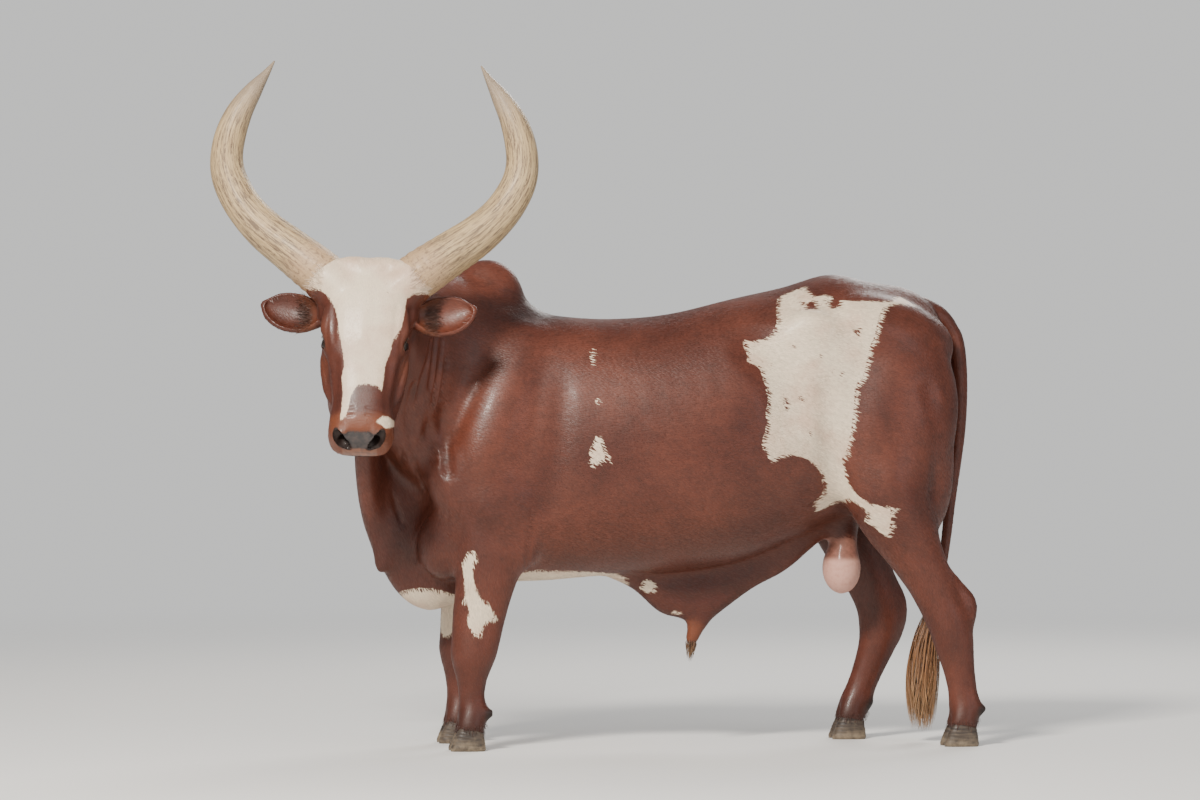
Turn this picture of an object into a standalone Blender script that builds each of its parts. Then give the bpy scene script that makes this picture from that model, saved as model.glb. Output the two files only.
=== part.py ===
"""An ankole watusi bull as a still, life-size model, standing with its head turned to its left.

Run it with: blender --background --python part.py, or from Blender's text editor.
The animal faces -X, its left side is -Y, and the floor is z = 0. Metres throughout.
"""

import math
import random

import bmesh
import bpy
import numpy as np
from mathutils import Matrix, Vector

# Places below are in the animal's own frame. This shift puts the middle of its box at the origin.
ORIGIN_SHIFT = Vector((0.018, 0.143, 0.0))
GAP = 0.0003  # left between pieces that touch

# Heights and half widths of the trunk
BACK_HEIGHT = 1.28  # lowest point of the back, behind the hump
SACRUM_HEIGHT = 1.415  # highest point of the rump
BELLY_HEIGHT = 0.515
BARREL_HALF_WIDTH = 0.315

# Fore legs stand side by side and the right hind leg is a stride ahead of the left
FORELEG_X = -0.400
FORELEG_HALF_SPREAD = 0.165
HINDLEG_HALF_SPREAD = 0.175
CORONET_HEIGHT = 0.074  # top of the hoof wall at the toe
CORONET_SLOPE = 0.28  # how fast it falls towards the heel
HOOF_LENGTH = 0.108
CLAW_WIDTH = 0.052

# The head hangs from the poll, turned almost square to the body
POLL = Vector((-0.735, -0.420, 1.457))
HEAD_HEADING = math.radians(260.5)  # compass of the nose in plan, counter-clockwise from +X
HEAD_PITCH = math.radians(69.5)  # nose below the horizon
HEAD_ROLL = math.radians(-1.5)
HEAD_LENGTH = 0.585

HORN_BASE_RADIUS = 0.070
HORN_HALF_SPREAD = 0.432  # from the middle of the head to the horn's axis at its widest
HORN_RISE = 0.588
EAR_LENGTH = 0.200
EAR_WIDTH = 0.124
EYE_RADIUS = 0.0205
EYE_FROM_POLL = 0.260
LID_THICKNESS = 0.0095
MOUTH_GAP = 0.003
TAIL_ROOT_RADIUS = 0.030
TAIL_TIP_RADIUS = 0.013
SWITCH_LOCKS = 12
TUFT_LOCKS = 4
TUFT_ROOT_HEIGHT = 0.320
# A lock from root to tip: share of its length, share of the brush's radius, share of its width
LOCK_SHAPE = ((0.0, 0.35, 0.60), (0.36, 0.88, 1.0), (0.70, 0.97, 0.72), (1.0, 0.82, 0.07))
LOCK_FLATNESS = 0.42

# Grain of the fused forms, and the triangles that each node may keep
FUSE_VOXEL = 0.007
FLESH_TRIANGLES = 5700
TRUNK_TRIANGLES = 3850
FACE_TRIANGLES = 750

LEFT, RIGHT = -1, 1  # the sign of y on each side of the animal


def clear_scene():
    """Removes whatever the scene holds."""
    for found in list(bpy.data.objects):
        bpy.data.objects.remove(found)


def make_collection(name, hidden=False):
    """A collection in the scene, hidden from renders when it only holds helpers."""
    made = bpy.data.collections.new(name)
    bpy.context.scene.collection.children.link(made)
    made.hide_render = hidden
    return made


def head_matrix():
    """Places the head's own frame: +X along the nose, +Y to its left, +Z out of the forehead."""
    heading = Matrix.Rotation(HEAD_HEADING, 4, "Z")
    pitch = Matrix.Rotation(HEAD_PITCH, 4, "Y")
    roll = Matrix.Rotation(HEAD_ROLL, 4, "X")
    return Matrix.Translation(POLL) @ heading @ roll @ pitch


def object_from(name, points, faces, collection, matrix=None):
    """A mesh object from points and faces, in the animal's frame."""
    mesh = bpy.data.meshes.new(name)
    mesh.from_pydata([tuple(p) for p in points], [], faces)
    if matrix is not None:
        mesh.transform(matrix)
    made = bpy.data.objects.new(name, mesh)
    collection.objects.link(made)
    return made


def spline(rows, steps):
    """Rows of numbers joined by a smooth curve through each row, with steps to each stretch."""
    rows = np.asarray(rows, float)
    padded = np.vstack([2 * rows[0] - rows[1], rows, 2 * rows[-1] - rows[-2]])
    out = []
    for i in range(len(rows) - 1):
        a, b, c, d = padded[i : i + 4]
        for t in np.arange(steps) / steps:
            out.append(
                0.5
                * (2 * b + (c - a) * t + (2 * a - 5 * b + 4 * c - d) * t**2 + (3 * b - a - 3 * c + d) * t**3)
            )
    out.append(rows[-1])
    return np.array(out)


def ring(centre, across, upward, side, above, below, power, sides):
    """One closed section: a squared ellipse with its own size above and below its centre."""
    angles = np.arange(sides) * 2 * math.pi / sides
    cosine, sine = np.cos(angles), np.sin(angles)
    reach = 2.0 / power
    u = side * np.sign(cosine) * np.abs(cosine) ** reach
    v = np.where(sine >= 0, above, below) * np.sign(sine) * np.abs(sine) ** reach
    return centre + u[:, None] * across + v[:, None] * upward


def stitch(rings):
    """Points and faces of a skin over rings of equal count, closed at both ends."""
    count = len(rings[0])
    points = np.vstack(rings)
    faces = [list(range(count))[::-1]]
    for r in range(len(rings) - 1):
        for i in range(count):
            j = (i + 1) % count
            a, b = r * count, (r + 1) * count
            faces.append([a + i, a + j, b + j, b + i])
    last = (len(rings) - 1) * count
    faces.append(list(range(last, last + count)))
    return points, faces


def facing_out(made):
    """Splits a closed mesh into triangles and turns them outward."""
    mesh = bmesh.new()
    mesh.from_mesh(made.data)
    bmesh.ops.triangulate(mesh, faces=mesh.faces)
    bmesh.ops.recalc_face_normals(mesh, faces=mesh.faces)
    if mesh.calc_volume(signed=True) < 0:
        bmesh.ops.reverse_faces(mesh, faces=mesh.faces)
    mesh.to_mesh(made.data)
    mesh.free()
    return made


def trunk_form(name, rows, collection, matrix=None, steps=4, sides=28, power=2.15, level=0.46, grow=0.0):
    """A form of upright sections. Each row is x, y, top, bottom and half width, and level is the
    share of the height at which a section is widest."""
    rows = spline(rows, steps)
    headings = np.gradient(rows[:, :2], axis=0)
    headings /= np.linalg.norm(headings, axis=1)[:, None]
    rings = []
    for (x, y, top, bottom, half), (hx, hy) in zip(rows, headings):
        middle = bottom + level * (top - bottom)
        across = np.array([-hy, hx, 0.0])
        rings.append(
            ring(np.array([x, y, middle]), across, np.array([0, 0, 1.0]), half + grow,
                 top - middle + grow, middle - bottom + grow, power, sides)
        )
    points, faces = stitch(rings)
    return facing_out(object_from(name, points, faces, collection, matrix))


def limb_form(name, rows, collection, matrix=None, steps=4, sides=20, power=2.0, grow=0.0, side_axis=(0, 1, 0)):
    """A form along a bent path. Each row is x, y, z, half depth and half width."""
    rows = spline(rows, steps)
    tangents = np.gradient(rows[:, :3], axis=0)
    tangents /= np.linalg.norm(tangents, axis=1)[:, None]
    rings = []
    for (x, y, z, depth, width), tangent in zip(rows, tangents):
        across = np.array(side_axis, float)
        across -= tangent * (across @ tangent)
        across /= np.linalg.norm(across)
        ahead = np.cross(tangent, across)
        rings.append(
            ring(np.array([x, y, z]), across, ahead, max(width, 0.0004) + grow,
                 max(depth, 0.0004) + grow, max(depth, 0.0004) + grow, power, sides)
        )
    points, faces = stitch(rings)
    return facing_out(object_from(name, points, faces, collection, matrix))


def ball_form(name, centre, radii, collection, turn=(0, 0, 0), matrix=None, segments=24):
    """An ellipsoid, turned by degrees about x, y and z."""
    mesh = bpy.data.meshes.new(name)
    shape = bmesh.new()
    bmesh.ops.create_uvsphere(shape, u_segments=segments, v_segments=segments // 2, radius=1.0)
    turned = Matrix.Identity(4)
    for axis, angle in zip("XYZ", turn):
        turned = Matrix.Rotation(math.radians(angle), 4, axis) @ turned
    placed = Matrix.Translation(Vector(centre)) @ turned @ Matrix.Diagonal((*radii, 1.0))
    if matrix is not None:
        placed = matrix @ placed
    bmesh.ops.transform(shape, matrix=placed, verts=shape.verts)
    shape.to_mesh(mesh)
    shape.free()
    made = bpy.data.objects.new(name, mesh)
    collection.objects.link(made)
    return made


def apply_modifiers(made):
    """Replaces an object's mesh by its evaluated one and drops its modifiers."""
    bpy.context.view_layer.update()
    graph = bpy.context.evaluated_depsgraph_get()
    mesh = bpy.data.meshes.new_from_object(made.evaluated_get(graph))
    old = made.data
    made.modifiers.clear()
    made.data = mesh
    bpy.data.meshes.remove(old)
    return made


def joined(name, forms, collection):
    """One object holding every form's mesh, still as separate shells."""
    shape = bmesh.new()
    for form in forms:
        shape.from_mesh(form.data)
        bpy.data.objects.remove(form)
    mesh = bpy.data.meshes.new(name)
    shape.to_mesh(mesh)
    shape.free()
    made = bpy.data.objects.new(name, mesh)
    collection.objects.link(made)
    return made


def fused(name, forms, voxel, collection):
    """All forms as one closed skin of even grain."""
    made = joined(name, forms, collection)
    remesh = made.modifiers.new("Fuse", "REMESH")
    remesh.mode = "VOXEL"
    remesh.voxel_size = voxel
    return apply_modifiers(made)


def coordinates(made):
    """The vertices of a mesh object as an array."""
    points = np.empty(len(made.data.vertices) * 3)
    made.data.vertices.foreach_get("co", points)
    return points.reshape(-1, 3)


def set_coordinates(made, points):
    """Moves the vertices of a mesh object."""
    made.data.vertices.foreach_set("co", points.astype(np.float32).ravel())
    made.data.update()


def relax(made, passes, share):
    """Evens out creases. share gives each vertex's part of the move to its neighbours' middle."""
    points = coordinates(made)
    edges = np.empty(len(made.data.edges) * 2, int)
    made.data.edges.foreach_get("vertices", edges)
    a, b = edges.reshape(-1, 2).T
    count = np.bincount(np.concatenate([a, b]), minlength=len(points))[:, None]
    weight = share(points)[:, None] if callable(share) else share
    for _ in range(passes):
        total = np.zeros_like(points)
        for axis in range(3):
            total[:, axis] = np.bincount(a, points[b, axis], len(points))
            total[:, axis] += np.bincount(b, points[a, axis], len(points))
        points += weight * (total / count - points)
    set_coordinates(made, points)


def distance_to_route(points, route):
    """How far each point is from a line through the route's points."""
    route = np.asarray(route, float)
    if len(route) == 1:
        return np.linalg.norm(points - route[0], axis=1)
    nearest = np.full(len(points), np.inf)
    for start, end in zip(route[:-1], route[1:]):
        run = end - start
        along = np.clip(((points - start) @ run) / (run @ run), 0, 1)
        nearest = np.minimum(nearest, np.linalg.norm(points - start - along[:, None] * run, axis=1))
    return nearest


def press(made, route, radius, depth):
    """Pushes the skin in by depth along a route, or out where depth is negative."""
    points = coordinates(made)
    normals = np.empty(len(points) * 3)
    made.data.vertices.foreach_get("normal", normals)
    fade = np.clip(1 - (distance_to_route(points, route) / radius) ** 2, 0, 1) ** 2
    set_coordinates(made, points - normals.reshape(-1, 3) * (fade * depth)[:, None])


def combine(made, others, operation, solver="MANIFOLD"):
    """Joins to, cuts from or keeps the overlap of an object and each helper, which is then removed."""
    for other in others:
        step = made.modifiers.new("Combine", "BOOLEAN")
        step.operation = operation
        step.solver = solver
        step.object = other
        apply_modifiers(made)
        bpy.data.objects.remove(other)
    return made


def copied(made, name, collection):
    """A copy with its own mesh."""
    twin = bpy.data.objects.new(name, made.data.copy())
    collection.objects.link(twin)
    return twin


def largest_body(made):
    """Keeps only the largest closed surface of a mesh."""
    shape = bmesh.new()
    shape.from_mesh(made.data)
    shape.verts.ensure_lookup_table()
    seen, shells = set(), []
    for start in shape.verts:
        if start.index in seen:
            continue
        shell, queue = [], [start]
        seen.add(start.index)
        while queue:
            vertex = queue.pop()
            shell.append(vertex)
            for edge in vertex.link_edges:
                other = edge.other_vert(vertex)
                if other.index not in seen:
                    seen.add(other.index)
                    queue.append(other)
        shells.append(shell)
    shells.sort(key=len)
    for shell in shells[:-1]:
        bmesh.ops.delete(shape, geom=shell, context="VERTS")
    shape.to_mesh(made.data)
    shape.free()
    return made


def trunk_forms(helpers):
    """The barrel, hump, brisket, sheath and the muscles of shoulder and rump."""
    forms = [
        trunk_form("barrel", [
            (-0.54, 0, 0.98, 0.62, 0.085),
            (-0.47, 0, 1.14, 0.535, 0.170),
            (-0.36, 0, 1.26, 0.500, 0.225),
            (-0.20, 0, BACK_HEIGHT + 0.012, 0.492, 0.262),
            (0.00, 0, BACK_HEIGHT, BELLY_HEIGHT - 0.008, 0.295),
            (0.20, 0, BACK_HEIGHT + 0.014, BELLY_HEIGHT, BARREL_HALF_WIDTH),
            (0.40, 0, 1.342, 0.545, BARREL_HALF_WIDTH),
            (0.56, 0, 1.378, 0.605, 0.285),
            (0.70, 0, SACRUM_HEIGHT + 0.004, 0.670, 0.250),
            (0.82, 0, 1.394, 0.700, 0.228),
            (0.94, 0, 1.376, 0.730, 0.190),
            (1.03, 0, 1.320, 0.800, 0.120),
        ], helpers, sides=36),
        ball_form("hump", (-0.350, -0.005, 1.322), (0.125, 0.080, 0.142), helpers, (0, 14, 0)),
        ball_form("hump_foot", (-0.270, 0, 1.250), (0.170, 0.105, 0.095), helpers, (0, 24, 0)),
        trunk_form("dewlap", [
            (-0.700, -0.285, 1.160, 1.030, 0.030),
            (-0.726, -0.215, 1.080, 0.890, 0.032),
            (-0.716, -0.130, 1.000, 0.745, 0.036),
            (-0.690, -0.055, 0.960, 0.605, 0.042),
            (-0.645, -0.020, 0.920, 0.515, 0.052),
            (-0.595, 0.000, 0.880, 0.442, 0.066),
            (-0.520, 0.000, 0.820, 0.405, 0.086),
            (-0.440, 0.000, 0.780, 0.425, 0.098),
            (-0.350, 0.000, 0.760, 0.466, 0.105),
            (-0.250, 0.000, 0.740, 0.492, 0.110),
        ], helpers, level=0.42),
        ball_form("brisket_fold", (-0.640, -0.040, 0.610), (0.040, 0.030, 0.100), helpers, (0, 18, 0)),
        trunk_form("sheath", [
            (0.020, 0, 0.620, 0.505, 0.070),
            (0.100, 0, 0.620, 0.466, 0.060),
            (0.180, 0, 0.600, 0.394, 0.044),
            (0.250, 0, 0.600, 0.374, 0.038),
            (0.310, 0, 0.600, 0.352, 0.036),
            (0.370, 0, 0.610, 0.396, 0.034),
            (0.470, 0, 0.640, 0.468, 0.034),
            (0.570, 0, 0.680, 0.520, 0.036),
            (0.660, 0, 0.720, 0.594, 0.042),
            (0.740, 0, 0.740, 0.650, 0.055),
        ], helpers, level=0.40),
        limb_form("sheath_mouth", [
            (0.325, 0, 0.460, 0.050, 0.032),
            (0.305, 0, 0.395, 0.042, 0.029),
            (0.288, 0, 0.345, 0.028, 0.024),
            (0.279, 0, 0.315, 0.022, 0.020),
            (0.277, 0, 0.295, 0.016, 0.015),
        ], helpers),
        ball_form("scrotum", (0.737, 0, 0.532), (0.062, 0.070, 0.086), helpers),
        limb_form("scrotum_neck", [
            (0.765, 0, 0.740, 0.060, 0.060),
            (0.752, 0, 0.660, 0.042, 0.046),
            (0.742, 0, 0.590, 0.046, 0.052),
        ], helpers),
    ]
    for side in (LEFT, RIGHT):
        forms += [
            ball_form("blade", (-0.300, side * 0.165, 1.020), (0.130, 0.092, 0.280), helpers, (side * 14, 24, 0)),
            ball_form("point_of_shoulder", (-0.452, side * 0.170, 0.800), (0.095, 0.078, 0.135), helpers, (0, -14, 0)),
            ball_form("upper_arm", (-0.325, side * 0.188, 0.735), (0.160, 0.084, 0.145), helpers, (0, 28, 0)),
            ball_form("elbow", (-0.272, side * 0.180, 0.615), (0.068, 0.060, 0.095), helpers),
            ball_form("chest_muscle", (-0.470, side * 0.105, 0.620), (0.095, 0.085, 0.120), helpers, (0, 10, 0)),
            ball_form("hook_bone", (0.615, side * 0.190, 1.225), (0.105, 0.058, 0.085), helpers, (side * -20, 12, 0)),
            ball_form("rump", (0.810, side * 0.120, 1.215), (0.240, 0.115, 0.140), helpers, (0, 9, 0)),
            ball_form("pin_bone", (1.000, side * 0.095, 1.195), (0.068, 0.055, 0.085), helpers),
            ball_form("haunch", (0.855, side * 0.160, 0.985), (0.210, 0.118, 0.300), helpers, (side * 5, 10, 0)),
            ball_form("ham", (0.945, side * 0.128, 0.880), (0.112, 0.100, 0.270), helpers, (0, -4, 0)),
        ]
    return forms


def neck_forms(helpers):
    """The neck, bending to the animal's left from the shoulders up to the back of the skull."""
    rows = [
        (-0.260, 0.000, 1.330, 0.640, 0.205),
        (-0.400, -0.015, 1.400, 0.680, 0.190),
        (-0.520, -0.075, 1.420, 0.760, 0.165),
        (-0.610, -0.155, 1.420, 0.860, 0.146),
        (-0.668, -0.235, 1.425, 0.980, 0.134),
        (-0.700, -0.305, 1.428, 1.080, 0.122),
        (-0.716, -0.360, 1.425, 1.150, 0.104),
    ]
    return [trunk_form("neck", rows, helpers, level=0.50, power=2.1)]


def foreleg_rows(side):
    """The line of one fore leg, elbow to fetlock."""
    x, y = FORELEG_X, side * FORELEG_HALF_SPREAD
    return [
        (x + 0.075, y * 1.06, 0.720, 0.130, 0.080),
        (x + 0.055, y * 1.06, 0.610, 0.114, 0.078),
        (x + 0.038, y * 1.04, 0.515, 0.094, 0.068),
        (x + 0.026, y * 1.02, 0.455, 0.086, 0.061),
        (x + 0.014, y, 0.385, 0.080, 0.057),
        (x + 0.006, y, 0.325, 0.074, 0.059),
        (x - 0.002, y, 0.275, 0.069, 0.059),
        (x - 0.005, y, 0.232, 0.055, 0.048),
        (x - 0.006, y, 0.195, 0.045, 0.038),
        (x - 0.006, y, 0.150, 0.041, 0.036),
        (x - 0.002, y, 0.112, 0.048, 0.045),
        (x - 0.010, y, 0.085, 0.043, 0.046),
    ]


def hindleg_rows(side):
    """The line of one hind leg. The left one stands back and the right one is a stride ahead."""
    y = side * HINDLEG_HALF_SPREAD
    if side == LEFT:
        return [
            (0.840, y * 1.02, 0.860, 0.165, 0.105),
            (0.845, y * 1.08, 0.760, 0.142, 0.097),
            (0.875, y * 1.08, 0.670, 0.114, 0.084),
            (0.920, y * 1.05, 0.590, 0.092, 0.071),
            (0.965, y * 1.02, 0.505, 0.074, 0.059),
            (1.000, y, 0.430, 0.066, 0.053),
            (1.032, y, 0.365, 0.068, 0.054),
            (1.046, y, 0.305, 0.062, 0.049),
            (1.060, y, 0.235, 0.051, 0.040),
            (1.072, y, 0.165, 0.046, 0.038),
            (1.079, y, 0.112, 0.051, 0.046),
            (1.074, y, 0.085, 0.045, 0.046),
        ]
    return [
        (0.790, y * 1.02, 0.860, 0.160, 0.105),
        (0.775, y * 1.08, 0.760, 0.140, 0.097),
        (0.790, y * 1.08, 0.660, 0.116, 0.084),
        (0.825, y * 1.05, 0.570, 0.096, 0.071),
        (0.862, y * 1.02, 0.480, 0.079, 0.059),
        (0.886, y, 0.405, 0.070, 0.053),
        (0.893, y, 0.345, 0.070, 0.054),
        (0.882, y, 0.290, 0.060, 0.049),
        (0.858, y, 0.225, 0.051, 0.040),
        (0.832, y, 0.158, 0.047, 0.038),
        (0.814, y, 0.110, 0.051, 0.046),
        (0.800, y, 0.086, 0.045, 0.046),
    ]


def feet():
    """Every foot as the side, the leg's name, and the middle of its hoof in plan."""
    out = []
    for side, word in ((LEFT, "left"), (RIGHT, "right")):
        out.append((side, "fore", word, FORELEG_X - 0.012, side * FORELEG_HALF_SPREAD))
        out.append((side, "hind", word, hindleg_rows(side)[-1][0] - 0.004, side * HINDLEG_HALF_SPREAD))
    return out


def leg_forms(helpers):
    """All four legs down to the toes, with the points of the hocks and the dew claws."""
    forms = []
    for side in (LEFT, RIGHT):
        forms.append(limb_form("foreleg", foreleg_rows(side), helpers, steps=3))
        rows = hindleg_rows(side)
        forms.append(limb_form("hindleg", rows, helpers, steps=3))
        hock, knee, thigh = rows[6], rows[5], rows[3]
        cord = [
            (thigh[0] + 0.070, thigh[1], thigh[2] - 0.035, 0.024, 0.020),
            (knee[0] + 0.052, knee[1], knee[2] + 0.055, 0.022, 0.019),
            (hock[0] + 0.058, hock[1], hock[2] + 0.066, 0.028, 0.024),
            (hock[0] + 0.056, hock[1], hock[2] + 0.018, 0.028, 0.026),
            (hock[0] + 0.034, hock[1], hock[2] - 0.045, 0.028, 0.028),
        ]
        forms.append(limb_form("hamstring", cord, helpers, steps=3, sides=14))
    for side, pair, word, x, y in feet():
        for inner in (-1, 1):
            toe = [
                (x + 0.014, y + inner * 0.014, 0.120, 0.040, 0.026),
                (x + 0.004, y + inner * 0.023, 0.090, 0.042, 0.028),
                (x - 0.002, y + inner * 0.028, 0.050, 0.046, 0.028),
            ]
            forms.append(limb_form("toe", toe, helpers))
            forms.append(ball_form("dew_claw", (x + 0.056, y + inner * 0.024, 0.110), (0.019, 0.014, 0.021), helpers,
                                   (0, 25, 0)))
    return forms


def head_forms(helpers, place):
    """Skull, cheeks, jaw and muzzle in the head's own frame, x from the poll to the lips."""
    tip = HEAD_LENGTH
    forms = [
        trunk_form("skull", [
            (-0.015, 0, -0.050, -0.170, 0.060),
            (0.008, 0, -0.026, -0.190, 0.090),
            (0.050, 0, -0.006, -0.205, 0.108),
            (0.120, 0, 0.006, -0.200, 0.122),
            (0.200, 0, 0.007, -0.190, 0.127),
            (0.270, 0, 0.003, -0.180, 0.118),
            (0.340, 0, -0.004, -0.165, 0.100),
            (0.420, 0, -0.008, -0.145, 0.086),
            (0.490, 0, -0.008, -0.120, 0.078),
            (0.540, 0, -0.016, -0.100, 0.070),
        ], helpers, place, power=2.7, level=0.70),
        trunk_form("jaw", [
            (0.110, 0, -0.100, -0.215, 0.086),
            (0.165, 0, -0.085, -0.250, 0.107),
            (0.230, 0, -0.075, -0.268, 0.117),
            (0.300, 0, -0.070, -0.262, 0.120),
            (0.370, 0, -0.066, -0.240, 0.117),
            (0.440, 0, -0.062, -0.206, 0.105),
            (0.500, 0, -0.062, -0.176, 0.086),
            (0.545, 0, -0.075, -0.158, 0.062),
            (0.574, 0, -0.100, -0.144, 0.038),
        ], helpers, place, power=2.2, level=0.58),
        trunk_form("muzzle", [
            (0.430, 0, -0.014, -0.125, 0.084),
            (0.480, 0, -0.010, -0.128, 0.092),
            (0.520, 0, -0.014, -0.131, 0.095),
            (0.550, 0, -0.026, -0.131, 0.092),
            (tip - 0.012, 0, -0.044, -0.127, 0.082),
            (tip, 0, -0.066, -0.116, 0.058),
        ], helpers, place, power=2.6, level=0.50),
        ball_form("poll", (0.030, 0, -0.036), (0.045, 0.100, 0.038), helpers, matrix=place),
    ]
    for side in (-1, 1):
        forms += [
            ball_form("brow", (0.216, side * 0.098, -0.034), (0.080, 0.032, 0.028), helpers, (0, 0, side * -6), place),
            ball_form("orbit", (0.260, side * 0.102, -0.058), (0.046, 0.026, 0.040), helpers, (0, 0, 0), place),
            ball_form("cheekbone", (0.340, side * 0.102, -0.092), (0.105, 0.026, 0.026), helpers, (0, 6, side * -8), place),
            ball_form("temple", (0.130, side * 0.108, -0.080), (0.075, 0.036, 0.055), helpers, matrix=place),
            limb_form("horn_seat", [
                (0.115, side * 0.052, -0.070, 0.066, 0.070),
                (0.075, side * 0.100, -0.068, 0.072, 0.075),
                (0.048, side * 0.130, -0.067, 0.073, 0.075),
                (0.034, side * 0.147, -0.066, 0.067, 0.068),
            ], helpers, place, side_axis=(0, 0, 1)),
            ball_form("ear_seat", (0.150, side * 0.118, -0.106), (0.040, 0.034, 0.042), helpers, matrix=place),
            ball_form("nostril_wing", (0.542, side * 0.056, -0.044), (0.036, 0.030, 0.028), helpers, matrix=place),
            ball_form("upper_lip", (0.520, side * 0.058, -0.106), (0.060, 0.036, 0.032), helpers, matrix=place),
        ]
    return forms


def horn_rows():
    """The horn's line in the head's frame, root to tip: out, up and in again, with its radius."""
    spread, rise, base = HORN_HALF_SPREAD, HORN_RISE, HORN_BASE_RADIUS
    return [
        (0.074, 0.098, -0.069, base * 0.95),
        (0.032, 0.148, -0.066, base),
        (-0.031, 0.230, -0.064, base * 0.93),
        (-0.092, 0.308, -0.064, base * 0.85),
        (-0.152, 0.366, -0.062, base * 0.78),
        (-0.207, spread - 0.029, -0.056, base * 0.75),
        (-0.261, spread - 0.006, -0.046, base * 0.72),
        (-0.315, spread, -0.032, base * 0.68),
        (-0.375, spread - 0.010, -0.014, base * 0.64),
        (-0.438, spread - 0.034, 0.004, base * 0.54),
        (-0.498, spread - 0.070, 0.018, base * 0.38),
        (-0.549, spread - 0.105, 0.028, base * 0.17),
        (-rise, spread - 0.129, 0.034, base * 0.03),
    ]


def horn(name, side, collection, place, steps=2):
    """One horn, round in section and drawn out to a blunt point."""
    rows = [(x, side * y, z, radius, radius) for x, y, z, radius in horn_rows()]
    return limb_form(name, rows, collection, place, steps=steps, sides=12, side_axis=(0, 0, 1))


def ear(name, side, collection, helpers, place):
    """One ear, a leaf with a hollow cut into the face that looks forward, and the cutter for its root."""
    length, width = EAR_LENGTH, EAR_WIDTH / 2
    outer = [
        (0.148, 0.090, -0.098, 0.024, width * 0.45),
        (0.150, 0.125, -0.105, 0.026, width * 0.52),
        (0.151, 0.150, -0.112, 0.026, width * 0.70),
        (0.148, 0.183, -0.118, 0.025, width * 0.93),
        (0.141, 0.217, -0.122, 0.022, width),
        (0.132, 0.252, -0.125, 0.018, width * 0.94),
        (0.122, 0.286, -0.127, 0.013, width * 0.68),
        (0.110, 0.115 + length, -0.128, 0.005, width * 0.14),
    ]
    hollow = [
        (0.150, 0.148, -0.092, 0.016, width * 0.30),
        (0.149, 0.168, -0.095, 0.025, width * 0.60),
        (0.147, 0.190, -0.098, 0.031, width * 0.78),
        (0.140, 0.220, -0.102, 0.032, width * 0.83),
        (0.131, 0.250, -0.108, 0.026, width * 0.76),
        (0.122, 0.279, -0.114, 0.017, width * 0.50),
        (0.115, 0.297, -0.119, 0.008, width * 0.16),
    ]
    outer = [(x, side * y, z, depth, wide) for x, y, z, depth, wide in outer]
    hollow = [(x, side * y, z, depth, wide) for x, y, z, depth, wide in hollow]
    made = limb_form(name, outer, collection, place, steps=1, sides=12, side_axis=(1, 0, 0))
    socket = swollen(made, "ear_socket", helpers)
    cup = limb_form("cup", hollow, helpers, place, steps=1, sides=12, side_axis=(1, 0, 0))
    return combine(made, [cup], "DIFFERENCE"), socket


def eye_frame(side):
    """Centre of one eye in the head's frame, the way it looks, towards the nose, and up to the brow."""
    centre = np.array([EYE_FROM_POLL, side * 0.104, -0.056])
    gaze = np.array([0.10, side * 0.92, 0.38])
    gaze /= np.linalg.norm(gaze)
    along = np.array([0.89, 0, 0.45])
    along -= gaze * (along @ gaze)
    along /= np.linalg.norm(along)
    up = np.cross(gaze, along)
    up *= np.sign(up[2])
    return centre, gaze, along, up


def lid(name, side, lift, helpers, place):
    """One eyelid: a tapered roll along the edge of the eye's opening, lift degrees off its middle."""
    centre, gaze, along, up = eye_frame(side)
    rows = []
    for turn in np.linspace(-72, 72, 9):
        rise = math.radians(lift) * math.cos(math.radians(turn * 90 / 72)) ** 0.8 if abs(turn) < 71 else 0
        turned = math.radians(turn)
        way = math.cos(rise) * (math.cos(turned) * gaze + math.sin(turned) * along) + math.sin(rise) * up
        thick = LID_THICKNESS / 2 * (0.55 + 0.45 * math.cos(turned))
        rows.append((*(centre + way * (EYE_RADIUS + 0.0015)), thick, thick * 1.15))
    return limb_form(name, rows, helpers, place, steps=1, sides=8, side_axis=tuple(gaze))


def face_cuts(helpers, place):
    """Cutters for the nostrils and for the line of the mouth."""
    cuts = []
    for side in (-1, 1):
        comma = [
            (0.574, side * 0.026, -0.056, 0.009, 0.006),
            (0.566, side * 0.042, -0.044, 0.015, 0.013),
            (0.552, side * 0.056, -0.033, 0.015, 0.013),
            (0.533, side * 0.068, -0.024, 0.011, 0.009),
            (0.512, side * 0.077, -0.019, 0.006, 0.004),
        ]
        passage = [
            (0.590, side * 0.050, -0.030, 0.016, 0.014),
            (0.556, side * 0.046, -0.046, 0.014, 0.013),
            (0.515, side * 0.038, -0.056, 0.008, 0.008),
        ]
        cuts.append(limb_form("nostril", comma, helpers, place, steps=1, sides=10, side_axis=(0, 0, 1)))
        cuts.append(limb_form("nostril_passage", passage, helpers, place, steps=1, sides=9, side_axis=(0, 0, 1)))
    half = [(0.452, 0.106, -0.118), (0.485, 0.098, -0.113), (0.520, 0.092, -0.110), (0.550, 0.078, -0.108),
            (0.572, 0.050, -0.108), (0.580, 0.020, -0.108)]
    line = [(x, y, z) for x, y, z in half] + [(x, -y, z) for x, y, z in reversed(half)]
    rows = [(x, y, z, 0.014, MOUTH_GAP / 2) for x, y, z in line]
    cuts.append(limb_form("mouth", rows, helpers, place, steps=1, sides=6, side_axis=(0, 0, 1)))
    return cuts


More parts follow.
